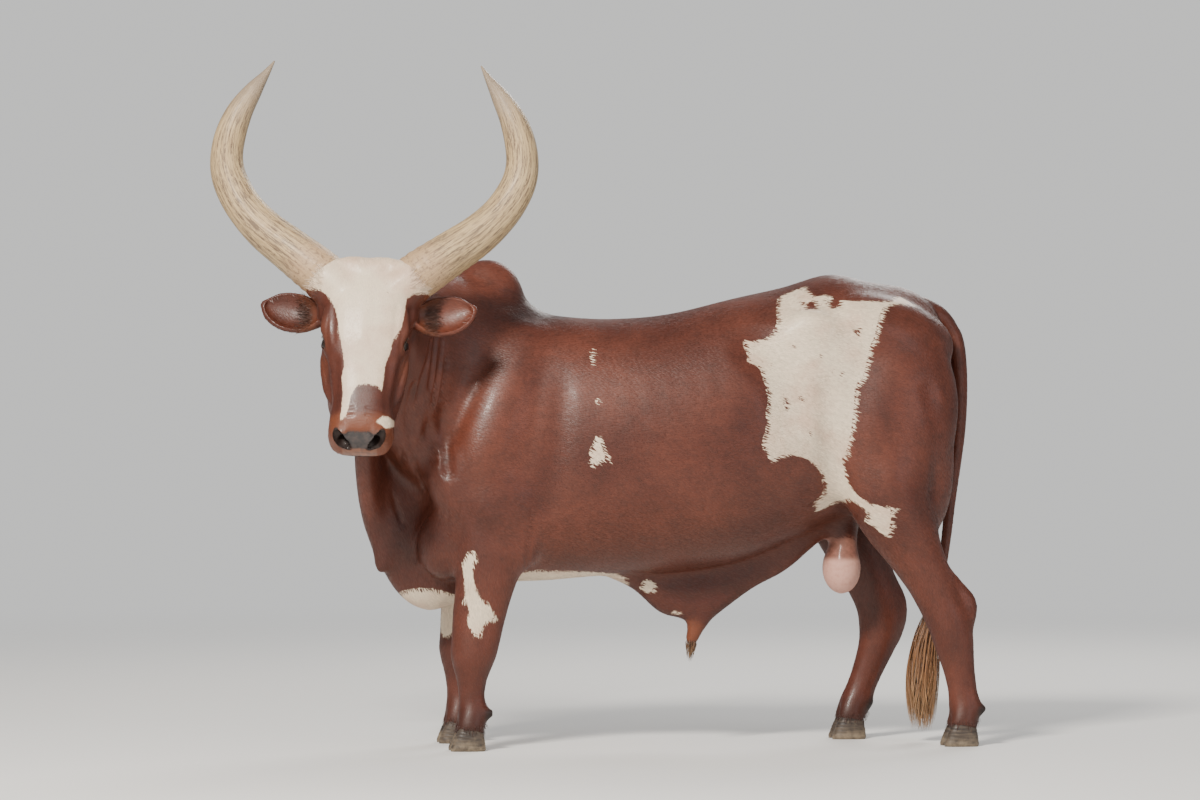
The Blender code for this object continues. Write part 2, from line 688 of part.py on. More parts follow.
def sculpt(body, place):
    """Hollows and swellings pressed into the fused skin."""
    for side in (LEFT, RIGHT):
        strokes = [
            ([(0.44, side * 0.27, 1.20), (0.50, side * 0.27, 1.13), (0.53, side * 0.27, 1.02)], 0.11, 0.020),
            ([(0.64, side * 0.26, 1.06), (0.655, side * 0.27, 0.90), (0.68, side * 0.24, 0.74)], 0.055, 0.012),
            ([(-0.14, side * 0.27, 1.15), (-0.16, side * 0.29, 0.95), (-0.19, side * 0.27, 0.72)], 0.060, 0.010),
            ([(-0.42, side * 0.24, 1.10), (-0.50, side * 0.22, 0.93)], 0.070, 0.010),
            ([(-0.42, side * 0.26, 0.70), (-0.36, side * 0.27, 0.62)], 0.045, 0.007),
            ([(0.95, side * 0.24, 1.06), (0.975, side * 0.22, 0.90), (0.965, side * 0.21, 0.76)], 0.045, 0.009),
            ([(0.72, side * 0.22, 1.30), (0.86, side * 0.20, 1.24), (0.96, side * 0.17, 1.16)], 0.060, -0.006),
            ([(0.84, side * 0.27, 0.80), (0.88, side * 0.25, 0.72)], 0.060, -0.006),
        ]
        for route, radius, depth in strokes:
            press(body, route, radius, depth)
    for route, radius, depth in (
        ([(-0.500, -0.170, 1.180), (-0.497, -0.220, 1.000), (-0.485, -0.240, 0.820)], 0.028, 0.014),
        ([(-0.545, -0.200, 1.200), (-0.545, -0.235, 1.020), (-0.530, -0.220, 0.860)], 0.024, 0.012),
        ([(-0.590, -0.250, 1.180), (-0.600, -0.260, 1.060), (-0.590, -0.230, 0.900)], 0.022, 0.009),
    ):
        press(body, route, radius, depth)
    for side in (-1, 1):
        for route, radius, depth in (
            ([(EYE_FROM_POLL, side * 0.127, -0.050)], 0.030, 0.013),
            ([(0.160, side * 0.135, -0.045), (0.200, side * 0.130, -0.045)], 0.028, 0.008),
            ([(0.330, side * 0.085, -0.010), (0.400, side * 0.080, -0.020), (0.460, side * 0.080, -0.025)], 0.026, 0.007),
            ([(0.300, side * 0.125, -0.135), (0.380, side * 0.118, -0.125), (0.450, side * 0.100, -0.100)], 0.030, 0.007),
            ([(0.200, side * 0.118, -0.240), (0.300, side * 0.118, -0.250), (0.390, side * 0.100, -0.225)], 0.026, -0.004),
            ([(0.470, side * 0.095, -0.098), (0.520, side * 0.094, -0.094), (0.562, side * 0.070, -0.094)], 0.018, -0.005),
            ([(0.490, side * 0.086, -0.130), (0.540, side * 0.070, -0.130), (0.570, side * 0.030, -0.132)], 0.018, -0.004),
            ([(0.450, side * 0.110, -0.120)], 0.022, 0.007),
        ):
            press(body, [tuple(place @ Vector(p)) for p in route], radius, depth)


def claw(name, x, y, inner, collection):
    """One claw of a hoof: flat sole, sloping wall, and a top that follows the coronet."""
    angles = np.arange(14) * 2 * math.pi / 14
    cosine, sine = np.cos(angles), np.sin(angles)
    rings = []
    for level, shrink in ((0.0, 0.0035), (0.10, 0.0), (0.60, 0.001), (1.0, 0.004)):
        toe = HOOF_LENGTH * 0.58 - 0.028 * level - shrink
        heel = HOOF_LENGTH * 0.42 - 0.004 * level - shrink
        side = CLAW_WIDTH / 2 - 0.002 * level - shrink
        u = side * np.sign(cosine) * np.abs(cosine) ** 0.8
        v = np.where(sine > 0, toe, heel) * np.sign(sine) * np.abs(sine) ** 0.85
        height = level * (coronet_height(-v) - GAP)
        rings.append(np.column_stack([x - v, y + inner * (0.0285 + 0.04 * v * v / 0.06) + u, height]))
    points, faces = stitch(rings)
    return facing_out(object_from(name, points, faces, collection))


def coronet_height(ahead):
    """Height of the hoof's upper edge, ahead metres behind the middle of the hoof."""
    return CORONET_HEIGHT - CORONET_SLOPE * (ahead + HOOF_LENGTH * 0.3)


def half_space(name, point, normal, helpers, reach=4.0, gap=0.0):
    """A large block that fills the side of a plane its normal points to, gap away from the plane."""
    normal = Vector(normal).normalized()
    shape = bmesh.new()
    bmesh.ops.create_cube(shape, size=1.0)
    lift = Matrix.Translation(Vector((0, 0, 0.5)))
    turn = normal.to_track_quat("Z", "Y").to_matrix().to_4x4()
    place = Matrix.Translation(Vector(point) + normal * gap) @ turn @ Matrix.Diagonal((reach, reach, reach, 1)) @ lift
    bmesh.ops.transform(shape, matrix=place, verts=shape.verts)
    mesh = bpy.data.meshes.new(name)
    shape.to_mesh(mesh)
    shape.free()
    made = bpy.data.objects.new(name, mesh)
    helpers.objects.link(made)
    return made


def swollen(made, name, helpers, amount=GAP):
    """A copy with every face moved outward by about amount."""
    twin = copied(made, name, helpers)
    shape = bmesh.new()
    shape.from_mesh(twin.data)
    shape.normal_update()
    for vertex in shape.verts:
        vertex.co += vertex.normal * amount * min(vertex.calc_shell_factor(), 2.0)
    shape.to_mesh(twin.data)
    shape.free()
    return twin


def leg_envelope(name, rows, top, helpers):
    """A sleeve wider than the leg, closed over its top by a dome that parts it from the trunk."""
    side = math.copysign(1, rows[0][1])
    sleeve = []
    x, y, z, depth, width = rows[0]
    deep, wide = depth + 0.035, width + 0.028
    for turn in (86, 66, 45, 22):
        share = math.cos(math.radians(turn))
        sleeve.append((x, y + side * 0.034, z + (top - z) * math.sin(math.radians(turn)), deep * share, wide * share))
    for x, y, z, depth, width in rows:
        share = min(1.0, max(0.0, (z - 0.45) / 0.3))
        sleeve.append((x, y + side * 0.034 * share, z, depth + 0.032 + 0.003 * share, width + 0.022 + 0.006 * share))
    sleeve.append((x - 0.005, y, -0.020, 0.120, 0.090))
    return limb_form(name, sleeve, helpers, steps=1, sides=14)


def head_envelope(helpers, place):
    """A box round the head whose lower face runs from behind the poll to under the jaw."""
    rows = [
        (-0.070, 0, 0.100, -0.070, 0.225),
        (-0.030, 0, 0.110, -0.100, 0.225),
        (0.030, 0, 0.110, -0.150, 0.225),
        (0.090, 0, 0.110, -0.202, 0.225),
        (0.150, 0, 0.100, -0.250, 0.200),
        (0.210, 0, 0.090, -0.280, 0.170),
        (0.300, 0, 0.080, -0.284, 0.165),
        (0.400, 0, 0.080, -0.262, 0.165),
        (0.500, 0, 0.080, -0.240, 0.165),
        (HEAD_LENGTH + 0.060, 0, 0.080, -0.220, 0.165),
    ]
    return trunk_form("head_cover", rows, helpers, place, steps=1, sides=20, power=5, level=0.5)


def tail_rows():
    """The line of the tail from its root to inside the switch."""
    root, tip = TAIL_ROOT_RADIUS, TAIL_TIP_RADIUS
    return [
        (0.930, 0, 1.325, root, root * 1.2),
        (1.000, 0, 1.315, root, root * 1.2),
        (1.052, 0, 1.280, root, root * 1.15),
        (1.085, 0, 1.215, root * 0.95, root * 1.05),
        (1.098, 0, 1.130, root * 0.88, root * 0.95),
        (1.101, 0, 1.030, root * 0.80, root * 0.86),
        (1.096, 0, 0.930, root * 0.74, root * 0.78),
        (1.084, 0, 0.830, root * 0.68, root * 0.70),
        (1.072, 0, 0.730, tip * 1.35, tip * 1.35),
        (1.060, 0, 0.620, tip * 1.20, tip * 1.20),
        (1.044, 0, 0.510, tip * 1.05, tip * 1.05),
        (1.022, 0, 0.410, tip, tip),
        (1.000, 0, 0.330, tip * 0.8, tip * 0.8),
    ]


def brush_of_locks(name, line, count, wide, core_share, seed, collection):
    """Long hair as flat, tapered, bending locks round a short core, fused into one closed body.
    Each row of line is x, y, z and the brush's half depth and half width there."""
    chance = random.Random(seed)
    line = spline(line, 6)
    stops = len(line) - 1
    short = line[: int(stops * core_share) + 1].copy()
    short[:, 3:] *= np.linspace(0.80, 0.35, len(short))[:, None]
    made = limb_form(name, short[::5], collection, steps=1, sides=6)
    locks = make_collection(name + "_locks", hidden=True)
    for number in range(count):
        bearing = number * 2.399963 + chance.uniform(-0.25, 0.25)
        first = core_share * 0.72 * (number / count) ** 0.8
        last = chance.uniform(0.86, 1.0) - 0.20 * (number % 3 == 1)
        twist = chance.uniform(-0.7, 0.7)
        spread = chance.uniform(0.82, 1.05)
        rows = []
        for share, out, full in LOCK_SHAPE:
            place = line[int(round((first + (last - first) * share) * stops))]
            turn = bearing + twist * share
            width = max(wide * full, 0.0012)
            x = place[0] + place[3] * spread * out * math.cos(turn)
            y = place[1] + place[4] * spread * out * math.sin(turn)
            rows.append((x, y, place[2], max(width * LOCK_FLATNESS, 0.0010), width))
        around = (-math.sin(bearing + twist / 2), math.cos(bearing + twist / 2), 0)
        limb_form("lock", rows, locks, steps=1, sides=4, side_axis=around)
    fuse = made.modifiers.new("Fuse", "BOOLEAN")
    fuse.operation = "UNION"
    fuse.solver = "EXACT"
    fuse.operand_type = "COLLECTION"
    fuse.collection = locks
    apply_modifiers(made)
    for lock in list(locks.objects):
        bpy.data.objects.remove(lock)
    bpy.data.collections.remove(locks)
    return largest_body(made)


def tail_switch(collection):
    """The brush of long hair at the end of the tail."""
    line = [
        (1.034, 0, 0.465, 0.018, 0.018),
        (1.018, 0, 0.400, 0.026, 0.025),
        (1.000, 0, 0.320, 0.039, 0.034),
        (0.990, 0, 0.240, 0.049, 0.041),
        (0.985, 0, 0.165, 0.050, 0.042),
        (0.984, 0, 0.095, 0.044, 0.037),
        (0.985, 0, 0.028, 0.028, 0.023),
    ]
    return brush_of_locks("tail_switch", line, SWITCH_LOCKS, 0.021, 0.55, 5, collection)


def sheath_tuft(collection):
    """The small brush of hair at the mouth of the sheath."""
    line = [
        (0.2795, 0, TUFT_ROOT_HEIGHT + 0.004, 0.023, 0.021),
        (0.2780, 0, 0.305, 0.022, 0.020),
        (0.2750, 0, 0.285, 0.017, 0.015),
        (0.2720, 0, 0.252, 0.009, 0.008),
    ]
    return brush_of_locks("sheath_tuft", line, TUFT_LOCKS, 0.0085, 0.55, 8, collection)


def nearby(places, radius):
    """A test that is 1 within radius of any of the places."""
    places = np.asarray(places)

    def test(points):
        inside = np.zeros(len(points), bool)
        for place in places:
            inside |= np.linalg.norm(points - place, axis=1) < radius
        return inside

    return test


def thin_region(made, triangles, inside):
    """Collapses edges of one region until it holds about so many triangles."""
    made.data.calc_loop_triangles()
    total = len(made.data.loop_triangles)
    mask = inside(coordinates(made))
    corners = np.empty(total * 3, int)
    made.data.loop_triangles.foreach_get("vertices", corners)
    region = int(mask[corners].reshape(-1, 3).all(axis=1).sum())
    if region <= triangles:
        return made
    thin = made.modifiers.new("Thin", "DECIMATE")
    thin.ratio = (total - region + triangles) / total
    thin.use_collapse_triangulate = True
    group = made.vertex_groups.new(name="region")
    group.add(np.flatnonzero(mask).tolist(), 1.0, "REPLACE")
    thin.vertex_group = group.name
    apply_modifiers(made)
    made.vertex_groups.clear()
    return made


def softness(place):
    """How strongly each place is smoothed: least on the head and the lower legs."""
    into_head = place.inverted()

    def share(points):
        local = points @ np.array(into_head.to_3x3()).T + np.array(into_head.translation)
        head = (local[:, 0] > 0.02) & (local[:, 2] > -0.30) & (local[:, 0] < 0.7)
        head &= (np.abs(local[:, 1]) < 0.2) & (local[:, 2] + 0.9 * (local[:, 0] - 0.18) > -0.22)
        out = np.where(head, 0.07, 0.5)
        out = np.where(points[:, 2] < 0.62, np.minimum(out, 0.10 + 0.40 * np.clip((points[:, 2] - 0.50) / 0.12, 0, 1)), out)
        return out

    return share


def skin_of(helpers, collection, place):
    """The whole animal's flesh as one skin, smoothed, pressed and thinned."""
    forms = trunk_forms(helpers) + neck_forms(helpers) + leg_forms(helpers) + head_forms(helpers, place)
    body = fused("body", forms, FUSE_VOXEL, collection)
    relax(body, 60, softness(place))
    sculpt(body, place)
    relax(body, 6, 0.25)
    into_head = place.inverted()
    face = [tuple(place @ Vector(p)) for p in (
        (EYE_FROM_POLL, 0.115, -0.05), (EYE_FROM_POLL, -0.115, -0.05), (0.555, 0.045, -0.06), (0.555, -0.045, -0.06),
        (0.52, 0.085, -0.11), (0.52, -0.085, -0.11))]
    on_face = nearby(face, 0.055)

    def on_head(points):
        local = points @ np.array(into_head.to_3x3()).T + np.array(into_head.translation)
        return (local[:, 2] + 1.15 * local[:, 0] > -0.15) & (local[:, 0] > -0.05) & (np.abs(local[:, 1]) < 0.2)

    thin_region(body, FLESH_TRIANGLES, lambda points: ~on_face(points))
    thin_region(body, TRUNK_TRIANGLES, lambda points: ~on_head(points))
    thin_region(body, FACE_TRIANGLES, nearby(face, 0.075))
    return body


# Colours for the plain solids, as linear red, green, blue and roughness
MATERIALS = {
    "hide": (0.105, 0.034, 0.019, 0.60),
    "horn": (0.56, 0.45, 0.30, 0.45),
    "hoof": (0.055, 0.040, 0.032, 0.55),
    "eye": (0.012, 0.008, 0.006, 0.08),
    "ear": (0.150, 0.052, 0.027, 0.62),
    "bare_skin": (0.40, 0.17, 0.13, 0.55),
    "switch_hair": (0.190, 0.085, 0.038, 0.65),
}
NODE_SLOTS = (
    ("horn", "horn"), ("hoof", "hoof"), ("eye", "eye"), ("ear", "ear"),
    ("scrotum", "bare_skin"), ("tail_switch", "switch_hair"), ("sheath_tuft", "switch_hair"),
)


def paint(made):
    """Gives a node the material of its kind."""
    slot = next((slot for start, slot in NODE_SLOTS if made.name.startswith(start)), "hide")
    material = bpy.data.materials.new(made.name)
    material.use_nodes = True
    shader = material.node_tree.nodes["Principled BSDF"]
    red, green, blue, rough = MATERIALS[slot]
    shader.inputs["Base Color"].default_value = (red, green, blue, 1.0)
    shader.inputs["Roughness"].default_value = rough
    made.data.materials.clear()
    made.data.materials.append(material)


def main():
    clear_scene()
    helpers = make_collection("helpers", hidden=True)
    bull = make_collection("ankole_bull")
    place = head_matrix()
    body = skin_of(helpers, bull, place)

    # Eyelids are joined to the skin, then the eyes, nostrils and mouth are cut into it.
    lids = []
    for side in (-1, 1):
        lids += [lid("upper_lid", side, 44, helpers, place), lid("lower_lid", side, -36, helpers, place)]
    combine(body, lids, "UNION")
    for side, word in ((1, "left"), (-1, "right")):
        centre = eye_frame(side)[0]
        eye = ball_form("eye_" + word, centre, (EYE_RADIUS,) * 3, bull, matrix=place, segments=14)
        combine(body, [swollen(eye, "socket", helpers)], "DIFFERENCE")
    combine(body, face_cuts(helpers, place), "DIFFERENCE")

    for side, word in ((1, "left"), (-1, "right")):
        horned = horn("horn_" + word, side, bull, place)
        combine(body, [swollen(horned, "horn_socket", helpers)], "DIFFERENCE")
        eared, socket = ear("ear_" + word, side, bull, helpers, place)
        combine(body, [socket], "DIFFERENCE")
        combine(eared, [swollen(horned, "horn_clearance", helpers)], "DIFFERENCE")

    cover = ball_form("scrotum_cover", (0.737, 0, 0.525), (0.088, 0.098, 0.128), helpers)
    combine(copied(body, "scrotum", bull), [copied(cover, "cover", helpers)], "INTERSECT")
    combine(body, [swollen(cover, "cover_cut", helpers)], "DIFFERENCE")
    bpy.data.objects.remove(cover)

    for side, word in ((LEFT, "left"), (RIGHT, "right")):
        for pair, rows, top in (("fore", foreleg_rows(side), 0.86), ("hind", hindleg_rows(side), 1.11)):
            cover = leg_envelope("leg_cover", rows, top, helpers)
            leg = copied(body, pair + "leg_" + word, bull)
            combine(leg, [copied(cover, "cover", helpers)], "INTERSECT")
            combine(body, [swollen(cover, "cover_cut", helpers)], "DIFFERENCE")
            bpy.data.objects.remove(cover)
            foot = [f for f in feet() if f[0] == side and f[1] == pair][0]
            slope = (CORONET_SLOPE, 0, 1)
            sole = half_space("coronet", (foot[3], foot[4], coronet_height(0)), slope, helpers)
            combine(leg, [sole], "INTERSECT")
            for inner, place_word in ((-side, "inner"), (side, "outer")):
                claw(f"hoof_{pair}_{word}_{place_word}", foot[3], foot[4], inner, bull)

    # The head is parted from the neck behind the poll and under the jaw, and the neck from the trunk.
    cover = head_envelope(helpers, place)
    combine(copied(body, "head", bull), [copied(cover, "cover", helpers)], "INTERSECT")
    rest = combine(body, [swollen(cover, "cover_cut", helpers)], "DIFFERENCE")
    bpy.data.objects.remove(cover)
    collar, ahead = Vector((-0.470, 0, 1.430)), Vector((-0.72, -0.12, 0.16))
    combine(copied(rest, "neck", bull), [half_space("collar", collar, ahead, helpers, gap=GAP)], "INTERSECT")
    torso = combine(rest, [half_space("collar", collar, -ahead, helpers)], "INTERSECT")
    torso.name = "torso"
    torso.data.name = "torso"

    tail = limb_form("tail", tail_rows(), bull, steps=1, sides=10)
    combine(torso, [swollen(tail, "tail_socket", helpers)], "DIFFERENCE")
    switch = tail_switch(bull)
    combine(switch, [swollen(tail, "tail_end", helpers)], "DIFFERENCE")

    # The tip of the sheath is cut level, and its tuft of hair hangs from there.
    tip = half_space("tuft_root", (0.285, 0, TUFT_ROOT_HEIGHT), (0, 0, -1), helpers, reach=0.12)
    combine(torso, [tip], "DIFFERENCE")
    tuft = sheath_tuft(bull)
    roots = half_space("tuft_top", (0.285, 0, TUFT_ROOT_HEIGHT), (0, 0, -1), helpers, reach=0.12, gap=GAP)
    combine(tuft, [roots], "INTERSECT")

    for made in bull.objects:
        largest_body(made)
        made.data.transform(Matrix.Translation(ORIGIN_SHIFT))
        made.data.name = made.name
        paint(made)


if __name__ == "__main__":
    main()
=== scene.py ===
# %% [markdown]
# # An ankole watusi bull, from solids to hide
#
# The solids of this animal are finished and come from model.glb. They fix its size, its stance and every
# outline.
# This lesson dresses them: one skin without seams, a short coat laid over it, long hair in locks,
# and horn, hoof and eye each in a finish of its own. All lengths are metres and the floor is z = 0.

import math
import random

import bmesh
import bpy
import numpy as np
from mathutils import Matrix, Vector
from mathutils.bvhtree import BVHTree


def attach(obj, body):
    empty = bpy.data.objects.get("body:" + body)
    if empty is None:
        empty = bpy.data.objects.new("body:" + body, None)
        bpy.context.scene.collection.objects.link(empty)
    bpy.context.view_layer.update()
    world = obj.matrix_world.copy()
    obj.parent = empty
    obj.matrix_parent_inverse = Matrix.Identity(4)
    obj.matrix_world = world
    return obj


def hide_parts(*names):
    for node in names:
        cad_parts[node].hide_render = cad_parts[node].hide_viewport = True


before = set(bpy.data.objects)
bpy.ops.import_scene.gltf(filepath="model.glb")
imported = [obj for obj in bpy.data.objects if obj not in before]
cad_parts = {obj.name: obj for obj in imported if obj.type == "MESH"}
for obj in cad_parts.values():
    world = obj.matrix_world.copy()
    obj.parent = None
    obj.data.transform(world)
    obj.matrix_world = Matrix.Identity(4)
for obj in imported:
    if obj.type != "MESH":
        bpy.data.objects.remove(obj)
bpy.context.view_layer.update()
random.seed(4)
chance = np.random.default_rng(4)

# %% [markdown]
# ## The camera
#
# The photo was taken from far off with a long lens, level with the shoulder, a little ahead of square
# to the animal's left side. A camera 14 m away with a 140 mm lens gives the same flat perspective.
# The animal's own frame has its shoulders near x = 0 and is shifted to sit in the middle of its box.

# %% Camera
ORIGIN_SHIFT = Vector((0.018, 0.143, 0.0))
CAMERA_TURN = math.radians(-8.0)
CAMERA_DISTANCE = 14.0
CAMERA_HEIGHT = 1.035
PHOTO_WIDTH, PHOTO_HEIGHT = 1200, 800
LENS, SENSOR = 140.0, 36.0



def linked(name, data):
    """A new object in the scene for a mesh, a camera or a light."""
    made = bpy.data.objects.new(name, data)
    bpy.context.scene.collection.objects.link(made)
    return made


camera_data = bpy.data.cameras.new("camera")
camera_data.lens = LENS
camera_data.sensor_width = SENSOR
camera = linked("camera", camera_data)
back = Vector((math.sin(CAMERA_TURN), -math.cos(CAMERA_TURN), 0.0))
camera.location = ORIGIN_SHIFT + back * CAMERA_DISTANCE + Vector((0, 0, CAMERA_HEIGHT))
camera.rotation_euler = (math.radians(90), 0, CAMERA_TURN)
bpy.context.scene.camera = camera


def photo_place(points):
    """Where points of the animal's frame fall in the photo, in its own pixels."""
    points = np.asarray(points, float)
    sine, cosine = math.sin(CAMERA_TURN), math.cos(CAMERA_TURN)
    aside = points[:, 0] * cosine + points[:, 1] * sine
    away = CAMERA_DISTANCE - points[:, 0] * sine + points[:, 1] * cosine
    grain = PHOTO_WIDTH * LENS / SENSOR
    return np.column_stack([
        PHOTO_WIDTH / 2 + grain * aside / away,
        PHOTO_HEIGHT / 2 - grain * (points[:, 2] - CAMERA_HEIGHT) / away,
    ])


print("camera at", [round(v, 2) for v in camera.location])

# %% [markdown]
# ## Tools for soft forms
#
# A body is easiest to build the way a clay sculptor does it: simple masses first, each one an
# ellipsoid or a loft of squared ellipses along a line, then one skin over them all. The same named
# sizes and the same forms made the solids, so the skin lands on them without any fitting.

# %% Named sizes, the same as in the solids
BACK_HEIGHT = 1.28
SACRUM_HEIGHT = 1.415
BELLY_HEIGHT = 0.515
BARREL_HALF_WIDTH = 0.315
FORELEG_X = -0.400
FORELEG_HALF_SPREAD = 0.165
HINDLEG_HALF_SPREAD = 0.175
CORONET_HEIGHT = 0.074
CORONET_SLOPE = 0.28
HOOF_LENGTH = 0.108
CLAW_WIDTH = 0.052
POLL = Vector((-0.735, -0.420, 1.457))
HEAD_HEADING = math.radians(260.5)
HEAD_PITCH = math.radians(69.5)
HEAD_ROLL = math.radians(-1.5)
HEAD_LENGTH = 0.585
HORN_BASE_RADIUS = 0.070
HORN_HALF_SPREAD = 0.432
HORN_RISE = 0.588
EAR_LENGTH = 0.200
EAR_WIDTH = 0.124
EYE_RADIUS = 0.0205
EYE_FROM_POLL = 0.260
LID_THICKNESS = 0.0095
MOUTH_GAP = 0.003
TAIL_ROOT_RADIUS = 0.030
TAIL_TIP_RADIUS = 0.013
FUSE_VOXEL = 0.007
LEFT, RIGHT = -1, 1  # the sign of y on each side of the animal

# %% Where the head is
def head_matrix():
    """Places the head's own frame: +X along the nose, +Y to its left, +Z out of the forehead."""
    heading = Matrix.Rotation(HEAD_HEADING, 4, "Z")
    pitch = Matrix.Rotation(HEAD_PITCH, 4, "Y")
    roll = Matrix.Rotation(HEAD_ROLL, 4, "X")
    return Matrix.Translation(POLL) @ heading @ roll @ pitch


HEAD_PLACE = head_matrix()
HEAD_TURN = np.array(HEAD_PLACE.to_3x3())
INTO_HEAD = HEAD_PLACE.inverted()


def in_head_frame(points):
    """Points of the animal's frame in the head's frame."""
    return points @ np.array(INTO_HEAD.to_3x3()).T + np.array(INTO_HEAD.translation)


def on_head(points):
    """True for points on the head in front of the neck."""
    local = in_head_frame(points)
    ahead = (local[:, 2] + 1.15 * local[:, 0] > -0.15) & (local[:, 2] > -0.30)
    return ahead & (local[:, 0] > -0.05) & (local[:, 0] < 0.62) & (np.abs(local[:, 1]) < 0.2)


def into_body(directions):
    """Directions in the head's frame as directions in the animal's."""
    return np.asarray(directions, float) @ HEAD_TURN.T


# %% Lofts, ellipsoids and the skin over them
def object_from(name, points, faces, matrix=None):
    """A mesh object from points and faces, in the animal's frame."""
    mesh = bpy.data.meshes.new(name)
    mesh.from_pydata([tuple(p) for p in points], [], faces)
    if matrix is not None:
        mesh.transform(matrix)
    return linked(name, mesh)


def spline(rows, steps):
    """Rows of numbers joined by a smooth curve through each row, with steps to each stretch."""
    rows = np.asarray(rows, float)
    padded = np.vstack([2 * rows[0] - rows[1], rows, 2 * rows[-1] - rows[-2]])
    out = []
    for i in range(len(rows) - 1):
        a, b, c, d = padded[i : i + 4]
        for t in np.arange(steps) / steps:
            bend, twist = 2 * a - 5 * b + 4 * c - d, 3 * b - a - 3 * c + d
            out.append(0.5 * (2 * b + (c - a) * t + bend * t**2 + twist * t**3))
    out.append(rows[-1])
    return np.array(out)


def ring(centre, across, upward, side, above, below, power, sides):
    """One closed section: a squared ellipse with its own size above and below its centre."""
    angles = np.arange(sides) * 2 * math.pi / sides
    cosine, sine = np.cos(angles), np.sin(angles)
    reach = 2.0 / power
    u = side * np.sign(cosine) * np.abs(cosine) ** reach
    v = np.where(sine >= 0, above, below) * np.sign(sine) * np.abs(sine) ** reach
    return centre + u[:, None] * across + v[:, None] * upward


def stitch(rings):
    """Points and faces of a skin over rings of equal count, closed at both ends."""
    count = len(rings[0])
    points = np.vstack(rings)
    faces = [list(range(count))[::-1]]
    for r in range(len(rings) - 1):
        for i in range(count):
            j = (i + 1) % count
            a, b = r * count, (r + 1) * count
            faces.append([a + i, a + j, b + j, b + i])
    last = (len(rings) - 1) * count
    faces.append(list(range(last, last + count)))
    return points, faces


def facing_out(made):
    """Splits a closed mesh into triangles and turns them outward."""
    mesh = bmesh.new()
    mesh.from_mesh(made.data)
    bmesh.ops.triangulate(mesh, faces=mesh.faces)
    bmesh.ops.recalc_face_normals(mesh, faces=mesh.faces)
    if mesh.calc_volume(signed=True) < 0:
        bmesh.ops.reverse_faces(mesh, faces=mesh.faces)
    mesh.to_mesh(made.data)
    mesh.free()
    return made


def trunk_form(name, rows, matrix=None, steps=4, sides=28, power=2.15, level=0.46):
    """A form of upright sections. Each row is x, y, top, bottom and half width, and level is the
    share of the height at which a section is widest."""
    rows = spline(rows, steps)
    headings = np.gradient(rows[:, :2], axis=0)
    headings /= np.linalg.norm(headings, axis=1)[:, None]
    rings = []
    for (x, y, top, bottom, half), (hx, hy) in zip(rows, headings):
        middle = bottom + level * (top - bottom)
        across = np.array([-hy, hx, 0.0])
        rings.append(ring(np.array([x, y, middle]), across, np.array([0, 0, 1.0]), half,
                          top - middle, middle - bottom, power, sides))
    points, faces = stitch(rings)
    return facing_out(object_from(name, points, faces, matrix))


def limb_form(name, rows, matrix=None, steps=4, sides=20, power=2.0, side_axis=(0, 1, 0)):
    """A form along a bent path. Each row is x, y, z, half depth and half width."""
    rows = spline(rows, steps)
    tangents = np.gradient(rows[:, :3], axis=0)
    tangents /= np.linalg.norm(tangents, axis=1)[:, None]
    rings = []
    for (x, y, z, depth, width), tangent in zip(rows, tangents):
        across = np.array(side_axis, float)
        across -= tangent * (across @ tangent)
        across /= np.linalg.norm(across)
        ahead = np.cross(tangent, across)
        deep, wide = max(depth, 0.0004), max(width, 0.0004)
        rings.append(ring(np.array([x, y, z]), across, ahead, wide, deep, deep, power, sides))
    points, faces = stitch(rings)
    return facing_out(object_from(name, points, faces, matrix))


def ball_form(name, centre, radii, turn=(0, 0, 0), matrix=None, segments=24):
    """An ellipsoid, turned by degrees about x, y and z."""
    mesh = bpy.data.meshes.new(name)
    shape = bmesh.new()
    bmesh.ops.create_uvsphere(shape, u_segments=segments, v_segments=segments // 2, radius=1.0)
    turned = Matrix.Identity(4)
    for axis, angle in zip("XYZ", turn):
        turned = Matrix.Rotation(math.radians(angle), 4, axis) @ turned
    placed = Matrix.Translation(Vector(centre)) @ turned @ Matrix.Diagonal((*radii, 1.0))
    if matrix is not None:
        placed = matrix @ placed
    bmesh.ops.transform(shape, matrix=placed, verts=shape.verts)
    shape.to_mesh(mesh)
    shape.free()
    return linked(name, mesh)


def apply_modifiers(made):
    """Replaces an object's mesh by its evaluated one and drops its modifiers."""
    bpy.context.view_layer.update()
    graph = bpy.context.evaluated_depsgraph_get()
    mesh = bpy.data.meshes.new_from_object(made.evaluated_get(graph))
    old = made.data
    made.modifiers.clear()
    made.data = mesh
    bpy.data.meshes.remove(old)
    return made


def joined(name, forms):
    """One object holding every form's mesh, still as separate shells."""
    shape = bmesh.new()
    for form in forms:
        shape.from_mesh(form.data)
        bpy.data.objects.remove(form)
    mesh = bpy.data.meshes.new(name)
    shape.to_mesh(mesh)
    shape.free()
    return linked(name, mesh)


def fused(name, forms, voxel):
    """All forms as one closed skin of even grain."""
    made = joined(name, forms)
    remesh = made.modifiers.new("Fuse", "REMESH")
    remesh.mode = "VOXEL"
    remesh.voxel_size = voxel
    return apply_modifiers(made)


print("form tools ready")

# %% [markdown]
# ## Tools for working the skin
#
# Once the masses are one mesh, its creases are eased by moving every vertex towards its neighbours,
# and hollows and swellings are pressed in along short routes, like a thumb drawn through clay.
# Doing both with arrays keeps a hundred thousand vertices quick.

# %% Easing, pressing and cutting
def coordinates(made):
    """The vertices of a mesh object as an array."""
    points = np.empty(len(made.data.vertices) * 3)
    made.data.vertices.foreach_get("co", points)
    return points.reshape(-1, 3)


def set_coordinates(made, points):
    """Moves the vertices of a mesh object."""
    made.data.vertices.foreach_set("co", points.astype(np.float32).ravel())
    made.data.update()


